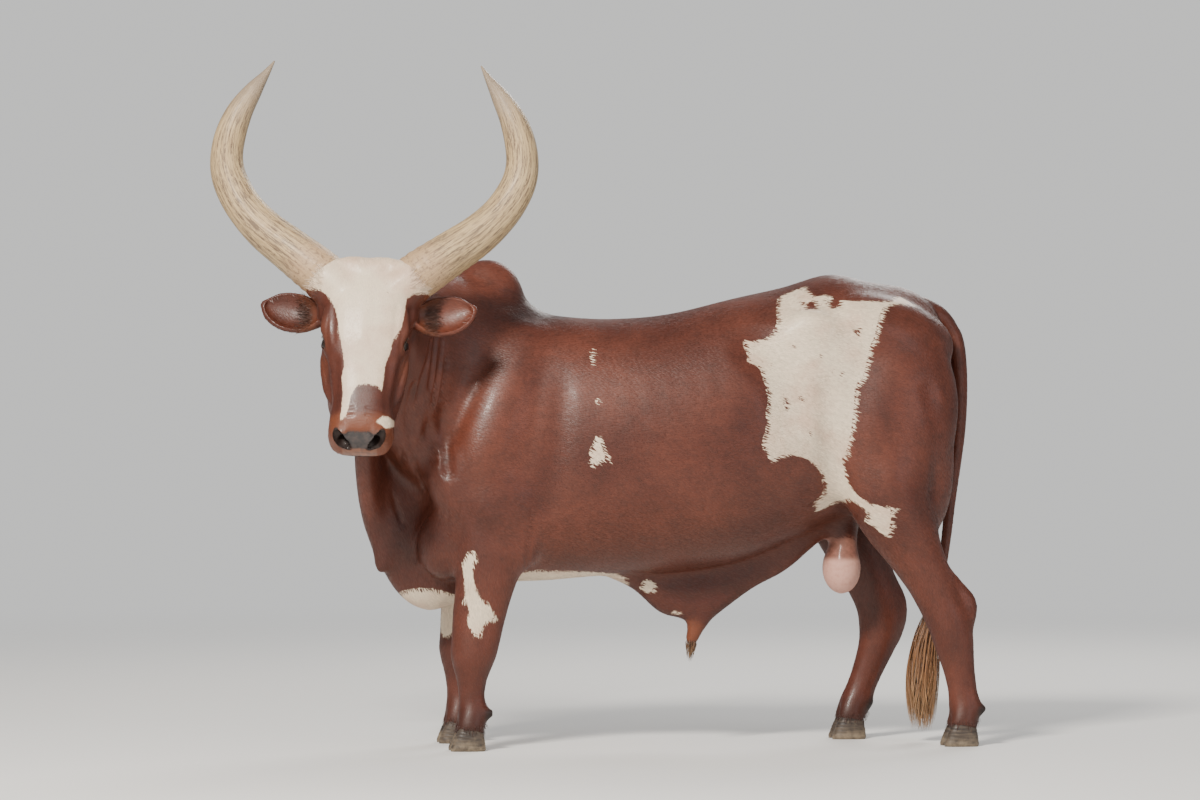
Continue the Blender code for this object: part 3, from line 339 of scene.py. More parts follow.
def relax(made, passes, share):
    """Evens out creases. share gives each vertex's part of the move to its neighbours' middle."""
    points = coordinates(made)
    edges = np.empty(len(made.data.edges) * 2, int)
    made.data.edges.foreach_get("vertices", edges)
    a, b = edges.reshape(-1, 2).T
    count = np.bincount(np.concatenate([a, b]), minlength=len(points))[:, None]
    weight = share(points)[:, None] if callable(share) else share
    for _ in range(passes):
        total = np.zeros_like(points)
        for axis in range(3):
            total[:, axis] = np.bincount(a, points[b, axis], len(points))
            total[:, axis] += np.bincount(b, points[a, axis], len(points))
        points += weight * (total / count - points)
    set_coordinates(made, points)


def distance_to_route(points, route):
    """How far each point is from a line through the route's points."""
    route = np.asarray(route, float)
    if len(route) == 1:
        return np.linalg.norm(points - route[0], axis=1)
    nearest = np.full(len(points), np.inf)
    for start, end in zip(route[:-1], route[1:]):
        run = end - start
        along = np.clip(((points - start) @ run) / (run @ run), 0, 1)
        nearest = np.minimum(nearest, np.linalg.norm(points - start - along[:, None] * run, axis=1))
    return nearest


def outward(made):
    """The normal at each vertex."""
    normals = np.empty(len(made.data.vertices) * 3)
    made.data.vertices.foreach_get("normal", normals)
    return normals.reshape(-1, 3)


def press(made, strokes):
    """Pushes the skin in along each stroke's route, or out where its depth is negative."""
    points, normals = coordinates(made), outward(made)
    moved = points.copy()
    for route, radius, depth in strokes:
        route = np.asarray(route, float)
        low, high = route.min(axis=0) - radius, route.max(axis=0) + radius
        near = np.flatnonzero(((points > low) & (points < high)).all(axis=1))
        fade = np.clip(1 - (distance_to_route(points[near], route) / radius) ** 2, 0, 1) ** 2
        moved[near] -= normals[near] * (fade * depth)[:, None]
    set_coordinates(made, moved)


def combine(made, others, operation):
    """Joins to, cuts from or keeps the overlap of an object and each helper, which is then removed."""
    for other in others:
        step = made.modifiers.new("Combine", "BOOLEAN")
        step.operation = operation
        step.solver = "MANIFOLD"
        step.object = other
        apply_modifiers(made)
        bpy.data.objects.remove(other)
    return made


def largest_body(made):
    """Keeps only the largest closed surface of a mesh."""
    shape = bmesh.new()
    shape.from_mesh(made.data)
    shape.verts.ensure_lookup_table()
    seen, shells = set(), []
    for start in shape.verts:
        if start.index in seen:
            continue
        shell, queue = [], [start]
        seen.add(start.index)
        while queue:
            vertex = queue.pop()
            shell.append(vertex)
            for edge in vertex.link_edges:
                other = edge.other_vert(vertex)
                if other.index not in seen:
                    seen.add(other.index)
                    queue.append(other)
        shells.append(shell)
    shells.sort(key=len)
    for shell in shells[:-1]:
        bmesh.ops.delete(shape, geom=shell, context="VERTS")
    shape.to_mesh(made.data)
    shape.free()
    return made


def thin_region(made, triangles, inside):
    """Collapses edges of one region until it holds about so many triangles."""
    made.data.calc_loop_triangles()
    total = len(made.data.loop_triangles)
    mask = inside(coordinates(made))
    corners = np.empty(total * 3, int)
    made.data.loop_triangles.foreach_get("vertices", corners)
    region = int(mask[corners].reshape(-1, 3).all(axis=1).sum())
    if region <= triangles:
        return made
    thin = made.modifiers.new("Thin", "DECIMATE")
    thin.ratio = (total - region + triangles) / total
    thin.use_collapse_triangulate = True
    group = made.vertex_groups.new(name="region")
    group.add(np.flatnonzero(mask).tolist(), 1.0, "REPLACE")
    thin.vertex_group = group.name
    apply_modifiers(made)
    made.vertex_groups.clear()
    return made


print("skin tools ready")

# %% [markdown]
# ## The masses of the body
#
# Trunk, neck, legs and head are lists of sections read off the animal from the side, the front and
# the top: where the line of the back runs, how deep the barrel is, where it is widest.

# %% Trunk and neck
PAIRED_MUSCLES = [  # middle and radii on the right side, then degrees about x and y
    ("blade", (-0.300, 0.165, 1.020), (0.130, 0.092, 0.280), (14, 24)),
    ("point_of_shoulder", (-0.452, 0.170, 0.800), (0.095, 0.078, 0.135), (0, -14)),
    ("upper_arm", (-0.325, 0.188, 0.735), (0.160, 0.084, 0.145), (0, 28)),
    ("elbow", (-0.272, 0.180, 0.615), (0.068, 0.060, 0.095), (0, 0)),
    ("chest_muscle", (-0.470, 0.105, 0.620), (0.095, 0.085, 0.120), (0, 10)),
    ("hook_bone", (0.615, 0.190, 1.225), (0.105, 0.058, 0.085), (-20, 12)),
    ("rump", (0.810, 0.120, 1.215), (0.240, 0.115, 0.140), (0, 9)),
    ("pin_bone", (1.000, 0.095, 1.195), (0.068, 0.055, 0.085), (0, 0)),
    ("haunch", (0.855, 0.160, 0.985), (0.210, 0.118, 0.300), (5, 10)),
    ("ham", (0.945, 0.128, 0.880), (0.112, 0.100, 0.270), (0, -4)),
]


def trunk_forms():
    """The barrel, hump, brisket, sheath and the muscles of shoulder and rump."""
    forms = [
        trunk_form("barrel", [
            (-0.54, 0, 0.98, 0.62, 0.085), (-0.47, 0, 1.14, 0.535, 0.170), (-0.36, 0, 1.26, 0.500, 0.225),
            (-0.20, 0, BACK_HEIGHT + 0.012, 0.492, 0.262),
            (0.00, 0, BACK_HEIGHT, BELLY_HEIGHT - 0.008, 0.295),
            (0.20, 0, BACK_HEIGHT + 0.014, BELLY_HEIGHT, BARREL_HALF_WIDTH),
            (0.40, 0, 1.342, 0.545, BARREL_HALF_WIDTH), (0.56, 0, 1.378, 0.605, 0.285),
            (0.70, 0, SACRUM_HEIGHT + 0.004, 0.670, 0.250), (0.82, 0, 1.394, 0.700, 0.228),
            (0.94, 0, 1.376, 0.730, 0.190), (1.03, 0, 1.320, 0.800, 0.120),
        ], sides=36),
        ball_form("hump", (-0.350, -0.005, 1.322), (0.125, 0.080, 0.142), (0, 14, 0)),
        ball_form("hump_foot", (-0.270, 0, 1.250), (0.170, 0.105, 0.095), (0, 24, 0)),
        trunk_form("dewlap", [
            (-0.700, -0.285, 1.160, 1.030, 0.030), (-0.726, -0.215, 1.080, 0.890, 0.032),
            (-0.716, -0.130, 1.000, 0.745, 0.036), (-0.690, -0.055, 0.960, 0.605, 0.042),
            (-0.645, -0.020, 0.920, 0.515, 0.052), (-0.595, 0.000, 0.880, 0.442, 0.066),
            (-0.520, 0.000, 0.820, 0.405, 0.086), (-0.440, 0.000, 0.780, 0.425, 0.098),
            (-0.350, 0.000, 0.760, 0.466, 0.105), (-0.250, 0.000, 0.740, 0.492, 0.110),
        ], level=0.42),
        ball_form("brisket_fold", (-0.640, -0.040, 0.610), (0.040, 0.030, 0.100), (0, 18, 0)),
        trunk_form("sheath", [
            (0.020, 0, 0.620, 0.505, 0.070), (0.100, 0, 0.620, 0.466, 0.060),
            (0.180, 0, 0.600, 0.394, 0.044), (0.250, 0, 0.600, 0.374, 0.038),
            (0.310, 0, 0.600, 0.352, 0.036), (0.370, 0, 0.610, 0.396, 0.034),
            (0.470, 0, 0.640, 0.468, 0.034), (0.570, 0, 0.680, 0.520, 0.036),
            (0.660, 0, 0.720, 0.594, 0.042), (0.740, 0, 0.740, 0.650, 0.055),
        ], level=0.40),
        limb_form("sheath_mouth", [
            (0.325, 0, 0.460, 0.050, 0.032), (0.305, 0, 0.395, 0.042, 0.029),
            (0.288, 0, 0.345, 0.028, 0.024), (0.279, 0, 0.315, 0.022, 0.020),
            (0.277, 0, 0.295, 0.016, 0.015),
        ]),
        ball_form("scrotum", (0.737, 0, 0.532), (0.062, 0.070, 0.086)),
        limb_form("scrotum_neck", [
            (0.765, 0, 0.740, 0.060, 0.060), (0.752, 0, 0.660, 0.042, 0.046),
            (0.742, 0, 0.590, 0.046, 0.052),
        ]),
    ]
    for side in (LEFT, RIGHT):
        for name, (x, y, z), radii, (twist, tip) in PAIRED_MUSCLES:
            forms.append(ball_form(name, (x, side * y, z), radii, (side * twist, tip, 0)))
    return forms


def neck_forms():
    """The neck, bending to the animal's left from the shoulders up to the back of the skull."""
    rows = [
        (-0.260, 0.000, 1.330, 0.640, 0.205), (-0.400, -0.015, 1.400, 0.680, 0.190),
        (-0.520, -0.075, 1.420, 0.760, 0.165), (-0.610, -0.155, 1.420, 0.860, 0.146),
        (-0.668, -0.235, 1.425, 0.980, 0.134), (-0.700, -0.305, 1.428, 1.080, 0.122),
        (-0.716, -0.360, 1.425, 1.150, 0.104),
    ]
    return [trunk_form("neck", rows, level=0.50, power=2.1)]


# %% Legs, down to the dew claws
def foreleg_rows(side):
    """The line of one fore leg, elbow to fetlock."""
    x, y = FORELEG_X, side * FORELEG_HALF_SPREAD
    return [
        (x + 0.075, y * 1.06, 0.720, 0.130, 0.080), (x + 0.055, y * 1.06, 0.610, 0.114, 0.078),
        (x + 0.038, y * 1.04, 0.515, 0.094, 0.068), (x + 0.026, y * 1.02, 0.455, 0.086, 0.061),
        (x + 0.014, y, 0.385, 0.080, 0.057), (x + 0.006, y, 0.325, 0.074, 0.059),
        (x - 0.002, y, 0.275, 0.069, 0.059), (x - 0.005, y, 0.232, 0.055, 0.048),
        (x - 0.006, y, 0.195, 0.045, 0.038), (x - 0.006, y, 0.150, 0.041, 0.036),
        (x - 0.002, y, 0.112, 0.048, 0.045), (x - 0.010, y, 0.085, 0.043, 0.046),
    ]


def hindleg_rows(side):
    """The line of one hind leg. The left one stands back and the right one is a stride ahead."""
    y = side * HINDLEG_HALF_SPREAD
    if side == LEFT:
        return [
            (0.840, y * 1.02, 0.860, 0.165, 0.105), (0.845, y * 1.08, 0.760, 0.142, 0.097),
            (0.875, y * 1.08, 0.670, 0.114, 0.084), (0.920, y * 1.05, 0.590, 0.092, 0.071),
            (0.965, y * 1.02, 0.505, 0.074, 0.059), (1.000, y, 0.430, 0.066, 0.053),
            (1.032, y, 0.365, 0.068, 0.054), (1.046, y, 0.305, 0.062, 0.049),
            (1.060, y, 0.235, 0.051, 0.040), (1.072, y, 0.165, 0.046, 0.038),
            (1.079, y, 0.112, 0.051, 0.046), (1.074, y, 0.085, 0.045, 0.046),
        ]
    return [
        (0.790, y * 1.02, 0.860, 0.160, 0.105), (0.775, y * 1.08, 0.760, 0.140, 0.097),
        (0.790, y * 1.08, 0.660, 0.116, 0.084), (0.825, y * 1.05, 0.570, 0.096, 0.071),
        (0.862, y * 1.02, 0.480, 0.079, 0.059), (0.886, y, 0.405, 0.070, 0.053),
        (0.893, y, 0.345, 0.070, 0.054), (0.882, y, 0.290, 0.060, 0.049), (0.858, y, 0.225, 0.051, 0.040),
        (0.832, y, 0.158, 0.047, 0.038), (0.814, y, 0.110, 0.051, 0.046), (0.800, y, 0.086, 0.045, 0.046),
    ]


def feet():
    """Every foot as the side, the leg's name, and the middle of its hoof in plan."""
    out = []
    for side, word in ((LEFT, "left"), (RIGHT, "right")):
        out.append((side, "fore", word, FORELEG_X - 0.012, side * FORELEG_HALF_SPREAD))
        out.append((side, "hind", word, hindleg_rows(side)[-1][0] - 0.004, side * HINDLEG_HALF_SPREAD))
    return out


def leg_forms():
    """All four legs down to the toes, with the points of the hocks and the dew claws."""
    forms = []
    for side in (LEFT, RIGHT):
        forms.append(limb_form("foreleg", foreleg_rows(side), steps=3))
        rows = hindleg_rows(side)
        forms.append(limb_form("hindleg", rows, steps=3))
        hock, knee, thigh = rows[6], rows[5], rows[3]
        cord = [
            (thigh[0] + 0.070, thigh[1], thigh[2] - 0.035, 0.024, 0.020),
            (knee[0] + 0.052, knee[1], knee[2] + 0.055, 0.022, 0.019),
            (hock[0] + 0.058, hock[1], hock[2] + 0.066, 0.028, 0.024),
            (hock[0] + 0.056, hock[1], hock[2] + 0.018, 0.028, 0.026),
            (hock[0] + 0.034, hock[1], hock[2] - 0.045, 0.028, 0.028),
        ]
        forms.append(limb_form("hamstring", cord, steps=3, sides=14))
    for side, pair, word, x, y in feet():
        for inner in (-1, 1):
            toe = [
                (x + 0.014, y + inner * 0.014, 0.120, 0.040, 0.026),
                (x + 0.004, y + inner * 0.023, 0.090, 0.042, 0.028),
                (x - 0.002, y + inner * 0.028, 0.050, 0.046, 0.028),
            ]
            forms.append(limb_form("toe", toe))
            forms.append(ball_form("dew_claw", (x + 0.056, y + inner * 0.024, 0.110), (0.019, 0.014, 0.021),
                                   (0, 25, 0)))
    return forms


def coronet_height(ahead):
    """Height of the hoof's upper edge, ahead metres behind the middle of the hoof."""
    return CORONET_HEIGHT - CORONET_SLOPE * (ahead + HOOF_LENGTH * 0.3)


# %% Skull, jaw and muzzle
def head_forms(place):
    """Skull, cheeks, jaw and muzzle in the head's own frame, x from the poll to the lips."""
    tip = HEAD_LENGTH
    forms = [
        trunk_form("skull", [
            (-0.015, 0, -0.050, -0.170, 0.060), (0.008, 0, -0.026, -0.190, 0.090),
            (0.050, 0, -0.006, -0.205, 0.108), (0.120, 0, 0.006, -0.200, 0.122),
            (0.200, 0, 0.007, -0.190, 0.127), (0.270, 0, 0.003, -0.180, 0.118),
            (0.340, 0, -0.004, -0.165, 0.100), (0.420, 0, -0.008, -0.145, 0.086),
            (0.490, 0, -0.008, -0.120, 0.078), (0.540, 0, -0.016, -0.100, 0.070),
        ], place, power=2.7, level=0.70),
        trunk_form("jaw", [
            (0.110, 0, -0.100, -0.215, 0.086), (0.165, 0, -0.085, -0.250, 0.107),
            (0.230, 0, -0.075, -0.268, 0.117), (0.300, 0, -0.070, -0.262, 0.120),
            (0.370, 0, -0.066, -0.240, 0.117), (0.440, 0, -0.062, -0.206, 0.105),
            (0.500, 0, -0.062, -0.176, 0.086), (0.545, 0, -0.075, -0.158, 0.062),
            (0.574, 0, -0.100, -0.144, 0.038),
        ], place, power=2.2, level=0.58),
        trunk_form("muzzle", [
            (0.430, 0, -0.014, -0.125, 0.084), (0.480, 0, -0.010, -0.128, 0.092),
            (0.520, 0, -0.014, -0.131, 0.095), (0.550, 0, -0.026, -0.131, 0.092),
            (tip - 0.012, 0, -0.044, -0.127, 0.082), (tip, 0, -0.066, -0.116, 0.058),
        ], place, power=2.6, level=0.50),
        ball_form("poll", (0.030, 0, -0.036), (0.045, 0.100, 0.038), matrix=place),
    ]
    for side in (-1, 1):
        forms += [
            ball_form("brow", (0.216, side * 0.098, -0.034), (0.080, 0.032, 0.028), (0, 0, side * -6), place),
            ball_form("orbit", (0.260, side * 0.102, -0.058), (0.046, 0.026, 0.040), (0, 0, 0), place),
            ball_form("cheekbone", (0.340, side * 0.102, -0.092), (0.105, 0.026, 0.026),
                      (0, 6, side * -8), place),
            ball_form("temple", (0.130, side * 0.108, -0.080), (0.075, 0.036, 0.055), matrix=place),
            limb_form("horn_seat", [
                (0.115, side * 0.052, -0.070, 0.066, 0.070), (0.075, side * 0.100, -0.068, 0.072, 0.075),
                (0.048, side * 0.130, -0.067, 0.073, 0.075), (0.034, side * 0.147, -0.066, 0.067, 0.068),
            ], place, side_axis=(0, 0, 1)),
            ball_form("ear_seat", (0.150, side * 0.118, -0.106), (0.040, 0.034, 0.042), matrix=place),
            ball_form("nostril_wing", (0.542, side * 0.056, -0.044), (0.036, 0.030, 0.028), matrix=place),
            ball_form("upper_lip", (0.520, side * 0.058, -0.106), (0.060, 0.036, 0.032), matrix=place),
        ]
    return forms


# %% Tail and ears
def tail_rows():
    """The line of the tail from its root to inside the switch."""
    root, tip = TAIL_ROOT_RADIUS, TAIL_TIP_RADIUS
    return [
        (0.930, 0, 1.325, root, root * 1.2), (1.000, 0, 1.315, root, root * 1.2),
        (1.052, 0, 1.280, root, root * 1.15), (1.085, 0, 1.215, root * 0.95, root * 1.05),
        (1.098, 0, 1.130, root * 0.88, root * 0.95), (1.101, 0, 1.030, root * 0.80, root * 0.86),
        (1.096, 0, 0.930, root * 0.74, root * 0.78), (1.084, 0, 0.830, root * 0.68, root * 0.70),
        (1.072, 0, 0.730, tip * 1.35, tip * 1.35), (1.060, 0, 0.620, tip * 1.20, tip * 1.20),
        (1.044, 0, 0.510, tip * 1.05, tip * 1.05), (1.022, 0, 0.410, tip, tip),
        (1.000, 0, 0.330, tip * 0.8, tip * 0.8),
    ]


# %% [markdown]
# ## One skin over all the masses
#
# A voxel remesh at 7 mm gives one closed skin over every mass. It is eased sixty times, less on the
# head and the lower legs, and then pressed into shape: the hollow of the flank, the groove behind
# the shoulder, the jaw, the folds of the neck. Up to here the solids were made the same way.

# %% Fuse, ease and press
MUSCLE_STROKES = [  # route for the right side, radius, depth
    ([(0.44, 0.27, 1.20), (0.50, 0.27, 1.13), (0.53, 0.27, 1.02)], 0.11, 0.020),
    ([(0.64, 0.26, 1.06), (0.655, 0.27, 0.90), (0.68, 0.24, 0.74)], 0.055, 0.012),
    ([(-0.14, 0.27, 1.15), (-0.16, 0.29, 0.95), (-0.19, 0.27, 0.72)], 0.060, 0.010),
    ([(-0.42, 0.24, 1.10), (-0.50, 0.22, 0.93)], 0.070, 0.010),
    ([(-0.42, 0.26, 0.70), (-0.36, 0.27, 0.62)], 0.045, 0.007),
    ([(0.95, 0.24, 1.06), (0.975, 0.22, 0.90), (0.965, 0.21, 0.76)], 0.045, 0.009),
    ([(0.72, 0.22, 1.30), (0.86, 0.20, 1.24), (0.96, 0.17, 1.16)], 0.060, -0.006),
    ([(0.84, 0.27, 0.80), (0.88, 0.25, 0.72)], 0.060, -0.006),
]
NECK_STROKES = [
    ([(-0.500, -0.170, 1.180), (-0.497, -0.220, 1.000), (-0.485, -0.240, 0.820)], 0.028, 0.014),
    ([(-0.545, -0.200, 1.200), (-0.545, -0.235, 1.020), (-0.530, -0.220, 0.860)], 0.024, 0.012),
    ([(-0.590, -0.250, 1.180), (-0.600, -0.260, 1.060), (-0.590, -0.230, 0.900)], 0.022, 0.009),
]
HEAD_STROKES = [  # the same in the head's frame
    ([(EYE_FROM_POLL, 0.127, -0.050)], 0.030, 0.013),
    ([(0.160, 0.135, -0.045), (0.200, 0.130, -0.045)], 0.028, 0.008),
    ([(0.330, 0.085, -0.010), (0.400, 0.080, -0.020), (0.460, 0.080, -0.025)], 0.026, 0.007),
    ([(0.300, 0.125, -0.135), (0.380, 0.118, -0.125), (0.450, 0.100, -0.100)], 0.030, 0.007),
    ([(0.200, 0.118, -0.240), (0.300, 0.118, -0.250), (0.390, 0.100, -0.225)], 0.026, -0.004),
    ([(0.470, 0.095, -0.098), (0.520, 0.094, -0.094), (0.562, 0.070, -0.094)], 0.018, -0.005),
    ([(0.490, 0.086, -0.130), (0.540, 0.070, -0.130), (0.570, 0.030, -0.132)], 0.018, -0.004),
    ([(0.450, 0.110, -0.120)], 0.022, 0.007),
]


def on_side(strokes, side):
    """Strokes given for one side, with the sign of their y multiplied by side."""
    return [([(x, side * y, z) for x, y, z in route], radius, depth) for route, radius, depth in strokes]


def on_face(strokes, side=1):
    """Strokes given in the head's frame, carried onto either side of the animal's head."""
    return [([tuple(HEAD_PLACE @ Vector(place)) for place in route], radius, depth)
            for route, radius, depth in on_side(strokes, side)]


def softness(points):
    """How strongly each place is smoothed: least on the head and the lower legs."""
    local = in_head_frame(points)
    head = (local[:, 0] > 0.02) & (local[:, 2] > -0.30) & (local[:, 0] < 0.7)
    head &= (np.abs(local[:, 1]) < 0.2) & (local[:, 2] + 0.9 * (local[:, 0] - 0.18) > -0.22)
    out = np.where(head, 0.07, 0.5)
    lower = 0.10 + 0.40 * np.clip((points[:, 2] - 0.50) / 0.12, 0, 1)
    return np.where(points[:, 2] < 0.62, np.minimum(out, lower), out)


skin = fused("hide", trunk_forms() + neck_forms() + leg_forms() + head_forms(HEAD_PLACE), FUSE_VOXEL)
relax(skin, 60, softness)
muscles = on_side(MUSCLE_STROKES, LEFT) + on_side(MUSCLE_STROKES, RIGHT) + NECK_STROKES
press(skin, muscles + on_face(HEAD_STROKES, -1) + on_face(HEAD_STROKES, 1))
relax(skin, 6, 0.25)
print("skin:", len(skin.data.vertices), "vertices")

# %% [markdown]
# ## A finer head
#
# A face is read more closely than a flank, so the head's edges are halved before it gets its small
# forms: brows, the trough that runs down from each eye, the crest of the cheek, the rims of the
# nostrils and the wrinkles over the muzzle. The smooth trunk gives back triangles in exchange.

# %% Finer edges on the head
def refine(made, inside):
    """Halves the edges of one region, so that it can hold finer forms."""
    shape = bmesh.new()
    shape.from_mesh(made.data)
    mask = inside(coordinates(made))
    edges = [edge for edge in shape.edges if mask[edge.verts[0].index] and mask[edge.verts[1].index]]
    bmesh.ops.subdivide_edges(shape, edges=edges, cuts=1, use_grid_fill=True)
    bmesh.ops.triangulate(shape, faces=[face for face in shape.faces if len(face.verts) > 4])
    shape.to_mesh(made.data)
    shape.free()


refine(skin, on_head)
relax(skin, 3, lambda points: 0.4 * on_head(points))
print("with the finer head:", len(skin.data.vertices), "vertices")

# %% Small forms of the face, in the head's frame
FACE_STROKES = [  # route for the animal's left side, radius, depth
    ([(0.175, 0.112, -0.030), (0.215, 0.122, -0.026), (0.250, 0.124, -0.030)], 0.016, -0.0035),
    ([(0.195, 0.104, -0.014), (0.240, 0.108, -0.014), (0.280, 0.106, -0.022)], 0.010, 0.0025),
    ([(0.160, 0.092, -0.006), (0.200, 0.092, 0.000), (0.270, 0.088, -0.002)], 0.014, 0.0022),
    ([(0.287, 0.118, -0.056), (0.320, 0.108, -0.050), (0.370, 0.100, -0.045)], 0.009, 0.0035),
    ([(0.292, 0.122, -0.070), (0.330, 0.114, -0.072), (0.375, 0.106, -0.070)], 0.008, 0.0020),
    ([(0.300, 0.120, -0.090), (0.360, 0.114, -0.092), (0.430, 0.104, -0.090)], 0.018, -0.0035),
    ([(0.226, 0.120, -0.088), (0.262, 0.125, -0.096), (0.300, 0.120, -0.094)], 0.009, 0.0034),
    ([(0.228, 0.118, -0.034), (0.252, 0.121, -0.024), (0.284, 0.116, -0.034)], 0.007, 0.0030),
    ([(0.505, 0.074, -0.010), (0.535, 0.078, -0.020), (0.560, 0.068, -0.034)], 0.009, -0.0030),
    ([(0.512, 0.046, -0.006), (0.540, 0.040, -0.014), (0.562, 0.036, -0.030)], 0.010, -0.0025),
    ([(0.470, 0.020, -0.008), (0.474, 0.055, -0.012), (0.482, 0.080, -0.030)], 0.007, 0.0012),
    ([(0.492, 0.018, -0.008), (0.497, 0.050, -0.012), (0.506, 0.084, -0.036)], 0.007, 0.0014),
    ([(0.506, 0.095, -0.070), (0.520, 0.097, -0.090)], 0.010, 0.0020),
    ([(0.540, 0.086, -0.060), (0.556, 0.082, -0.084)], 0.010, 0.0018),
    ([(0.400, 0.112, -0.150), (0.450, 0.104, -0.140), (0.500, 0.090, -0.136)], 0.016, 0.0030),
    ([(0.240, 0.120, -0.190), (0.330, 0.124, -0.200), (0.420, 0.112, -0.180)], 0.030, 0.0040),
    ([(0.130, 0.122, -0.150), (0.190, 0.122, -0.160)], 0.022, 0.0035),
    ([(0.010, 0.060, -0.016), (0.030, 0.085, -0.020)], 0.030, -0.0060),
    ([(0.080, 0.022, 0.010), (0.120, 0.026, 0.012), (0.160, 0.022, 0.010)], 0.008, 0.0006),
    ([(0.070, 0.048, 0.004), (0.110, 0.056, 0.008), (0.140, 0.054, 0.008)], 0.007, 0.0005),
]
MIDDLE_STROKES = [
    ([(-0.005, 0.0, -0.030), (0.020, 0.0, -0.014)], 0.040, 0.0060),
    ([(0.060, 0.0, 0.000), (0.160, 0.0, 0.008), (0.260, 0.0, 0.006)], 0.030, -0.0010),
    ([(0.575, 0.0, -0.050), (0.582, 0.0, -0.080), (0.580, 0.0, -0.104)], 0.007, 0.0020),
    ([(0.560, 0.0, -0.146), (0.540, 0.0, -0.158)], 0.030, -0.0030),
]


face = on_face(FACE_STROKES) + on_face(FACE_STROKES, -1) + on_face(MIDDLE_STROKES)
press(skin, face)


def cheeks(points):
    """The sides of the face under the eyes, where the lofts of jaw and nose meet."""
    x, y, z = in_head_frame(points).T
    return 0.5 * ((x > 0.26) & (x < 0.48) & (np.abs(y) > 0.07) & (z > -0.150) & (z < -0.078))


relax(skin, 8, cheeks)
print("pressed", len(face), "strokes into the face")

# %% [markdown]
# ## Folds of the hide
#
# Hide is loose where the animal bends. The neck is turned hard to the left, so that side gathers in
# upright folds behind the jaw; the dewlap hangs in curtains; small creases lie behind the elbow and
# in front of the stifle. Ribs and the strings of the legs show faintly under the short coat.

# %% Folds, ribs and tendons
BODY_STROKES = [
    ([(-0.555, -0.222, 1.245), (-0.560, -0.248, 1.160), (-0.545, -0.262, 1.075)], 0.014, 0.0060),
    ([(-0.530, -0.205, 1.225), (-0.532, -0.240, 1.120), (-0.520, -0.262, 1.010)], 0.013, 0.0055),
    ([(-0.585, -0.240, 1.200), (-0.590, -0.258, 1.110), (-0.580, -0.255, 1.020)], 0.013, 0.0050),
    ([(-0.505, -0.210, 1.150), (-0.505, -0.236, 1.060), (-0.498, -0.250, 0.960)], 0.015, 0.0040),
    ([(-0.610, -0.262, 1.100), (-0.608, -0.240, 0.980), (-0.590, -0.190, 0.880)], 0.014, 0.0050),
    ([(-0.560, -0.205, 0.960), (-0.575, -0.160, 0.860), (-0.560, -0.110, 0.760)], 0.016, 0.0050),
    ([(-0.600, -0.160, 0.900), (-0.620, -0.110, 0.780), (-0.600, -0.070, 0.660)], 0.014, 0.0050),
    ([(-0.520, -0.150, 0.740), (-0.560, -0.100, 0.640), (-0.560, -0.070, 0.560)], 0.014, 0.0045),
    ([(-0.470, -0.150, 0.640), (-0.510, -0.100, 0.560), (-0.520, -0.070, 0.500)], 0.014, 0.0040),
    ([(-0.235, -0.240, 0.700), (-0.250, -0.215, 0.620), (-0.262, -0.190, 0.560)], 0.014, 0.0040),
    ([(0.600, -0.262, 0.735), (0.650, -0.262, 0.715), (0.700, -0.255, 0.690)], 0.020, 0.0030),
    ([(0.620, -0.230, 0.690), (0.690, -0.240, 0.660)], 0.014, 0.0035),
    ([(0.130, -0.020, 0.470), (0.280, -0.034, 0.430), (0.400, -0.034, 0.470)], 0.014, 0.0030),
]
NECK_ENDS_X = -0.48  # folds in front of this are on the inside of the bend alone
RIB_COUNT, FIRST_RIB_X, RIB_PITCH, RIB_DEPTH = 8, -0.06, 0.062, 0.0012
LEG_STROKES = [  # x before or behind the leg's line, share of its half width, heights, radius, depth
    (0.018, 0.95, (0.19, 0.14), 0.008, 0.0022),
    (0.030, 0.80, (0.21, 0.15, 0.12), 0.008, -0.0018),
    (-0.020, 0.75, (0.19, 0.15), 0.010, 0.0014),
]


def onto(points, route):
    """A route drawn through more places, each moved to the nearest of some points, and smoothed."""
    found = np.array([points[np.argmin(((points - place) ** 2).sum(axis=1))] for place in spline(route, 4)])
    for _ in range(3):
        found[1:-1] = 0.5 * found[1:-1] + 0.25 * (found[:-2] + found[2:])
    return [tuple(place) for place in found]


surface = coordinates(skin)
folds = [(onto(surface, route), radius, depth) for route, radius, depth in BODY_STROKES]
folds += on_side([stroke for stroke in BODY_STROKES if stroke[0][0][0] > NECK_ENDS_X], -1)
for side in (LEFT, RIGHT):
    for number in range(RIB_COUNT):
        x = FIRST_RIB_X + RIB_PITCH * number
        route = [(x, side * 0.27, 1.10), (x + 0.03, side * 0.31, 0.92), (x + 0.01, side * 0.29, 0.72)]
        folds.append((route, 0.030, RIB_DEPTH * random.uniform(0.4, 1.0)))
    for rows in (foreleg_rows(side), hindleg_rows(side)):
        for ahead, share, heights, radius, depth in LEG_STROKES:
            for out in (-1, 1):
                line = np.array(rows)[::-1]
                route = []
                for z in heights:
                    x, y, half = (np.interp(z, line[:, 2], line[:, k]) for k in (0, 1, 4))
                    route.append((x + ahead, y + out * share * half, z))
                folds.append((route, radius, depth))
press(skin, folds)
relax(skin, 2, 0.2)
print("folds pressed, box", coordinates(skin).min(axis=0).round(3), coordinates(skin).max(axis=0).round(3))

# %% [markdown]
# ## Lids, nostrils, mouth, ears and tail
#
# These have edges that a voxel skin would round off. Each is a loft of its own, joined to the skin or
# cut from it with a Boolean, and the seam is eased. The trunk is thinned first, which costs no form
# that shows, since its edges are then still far shorter than any muscle is wide.

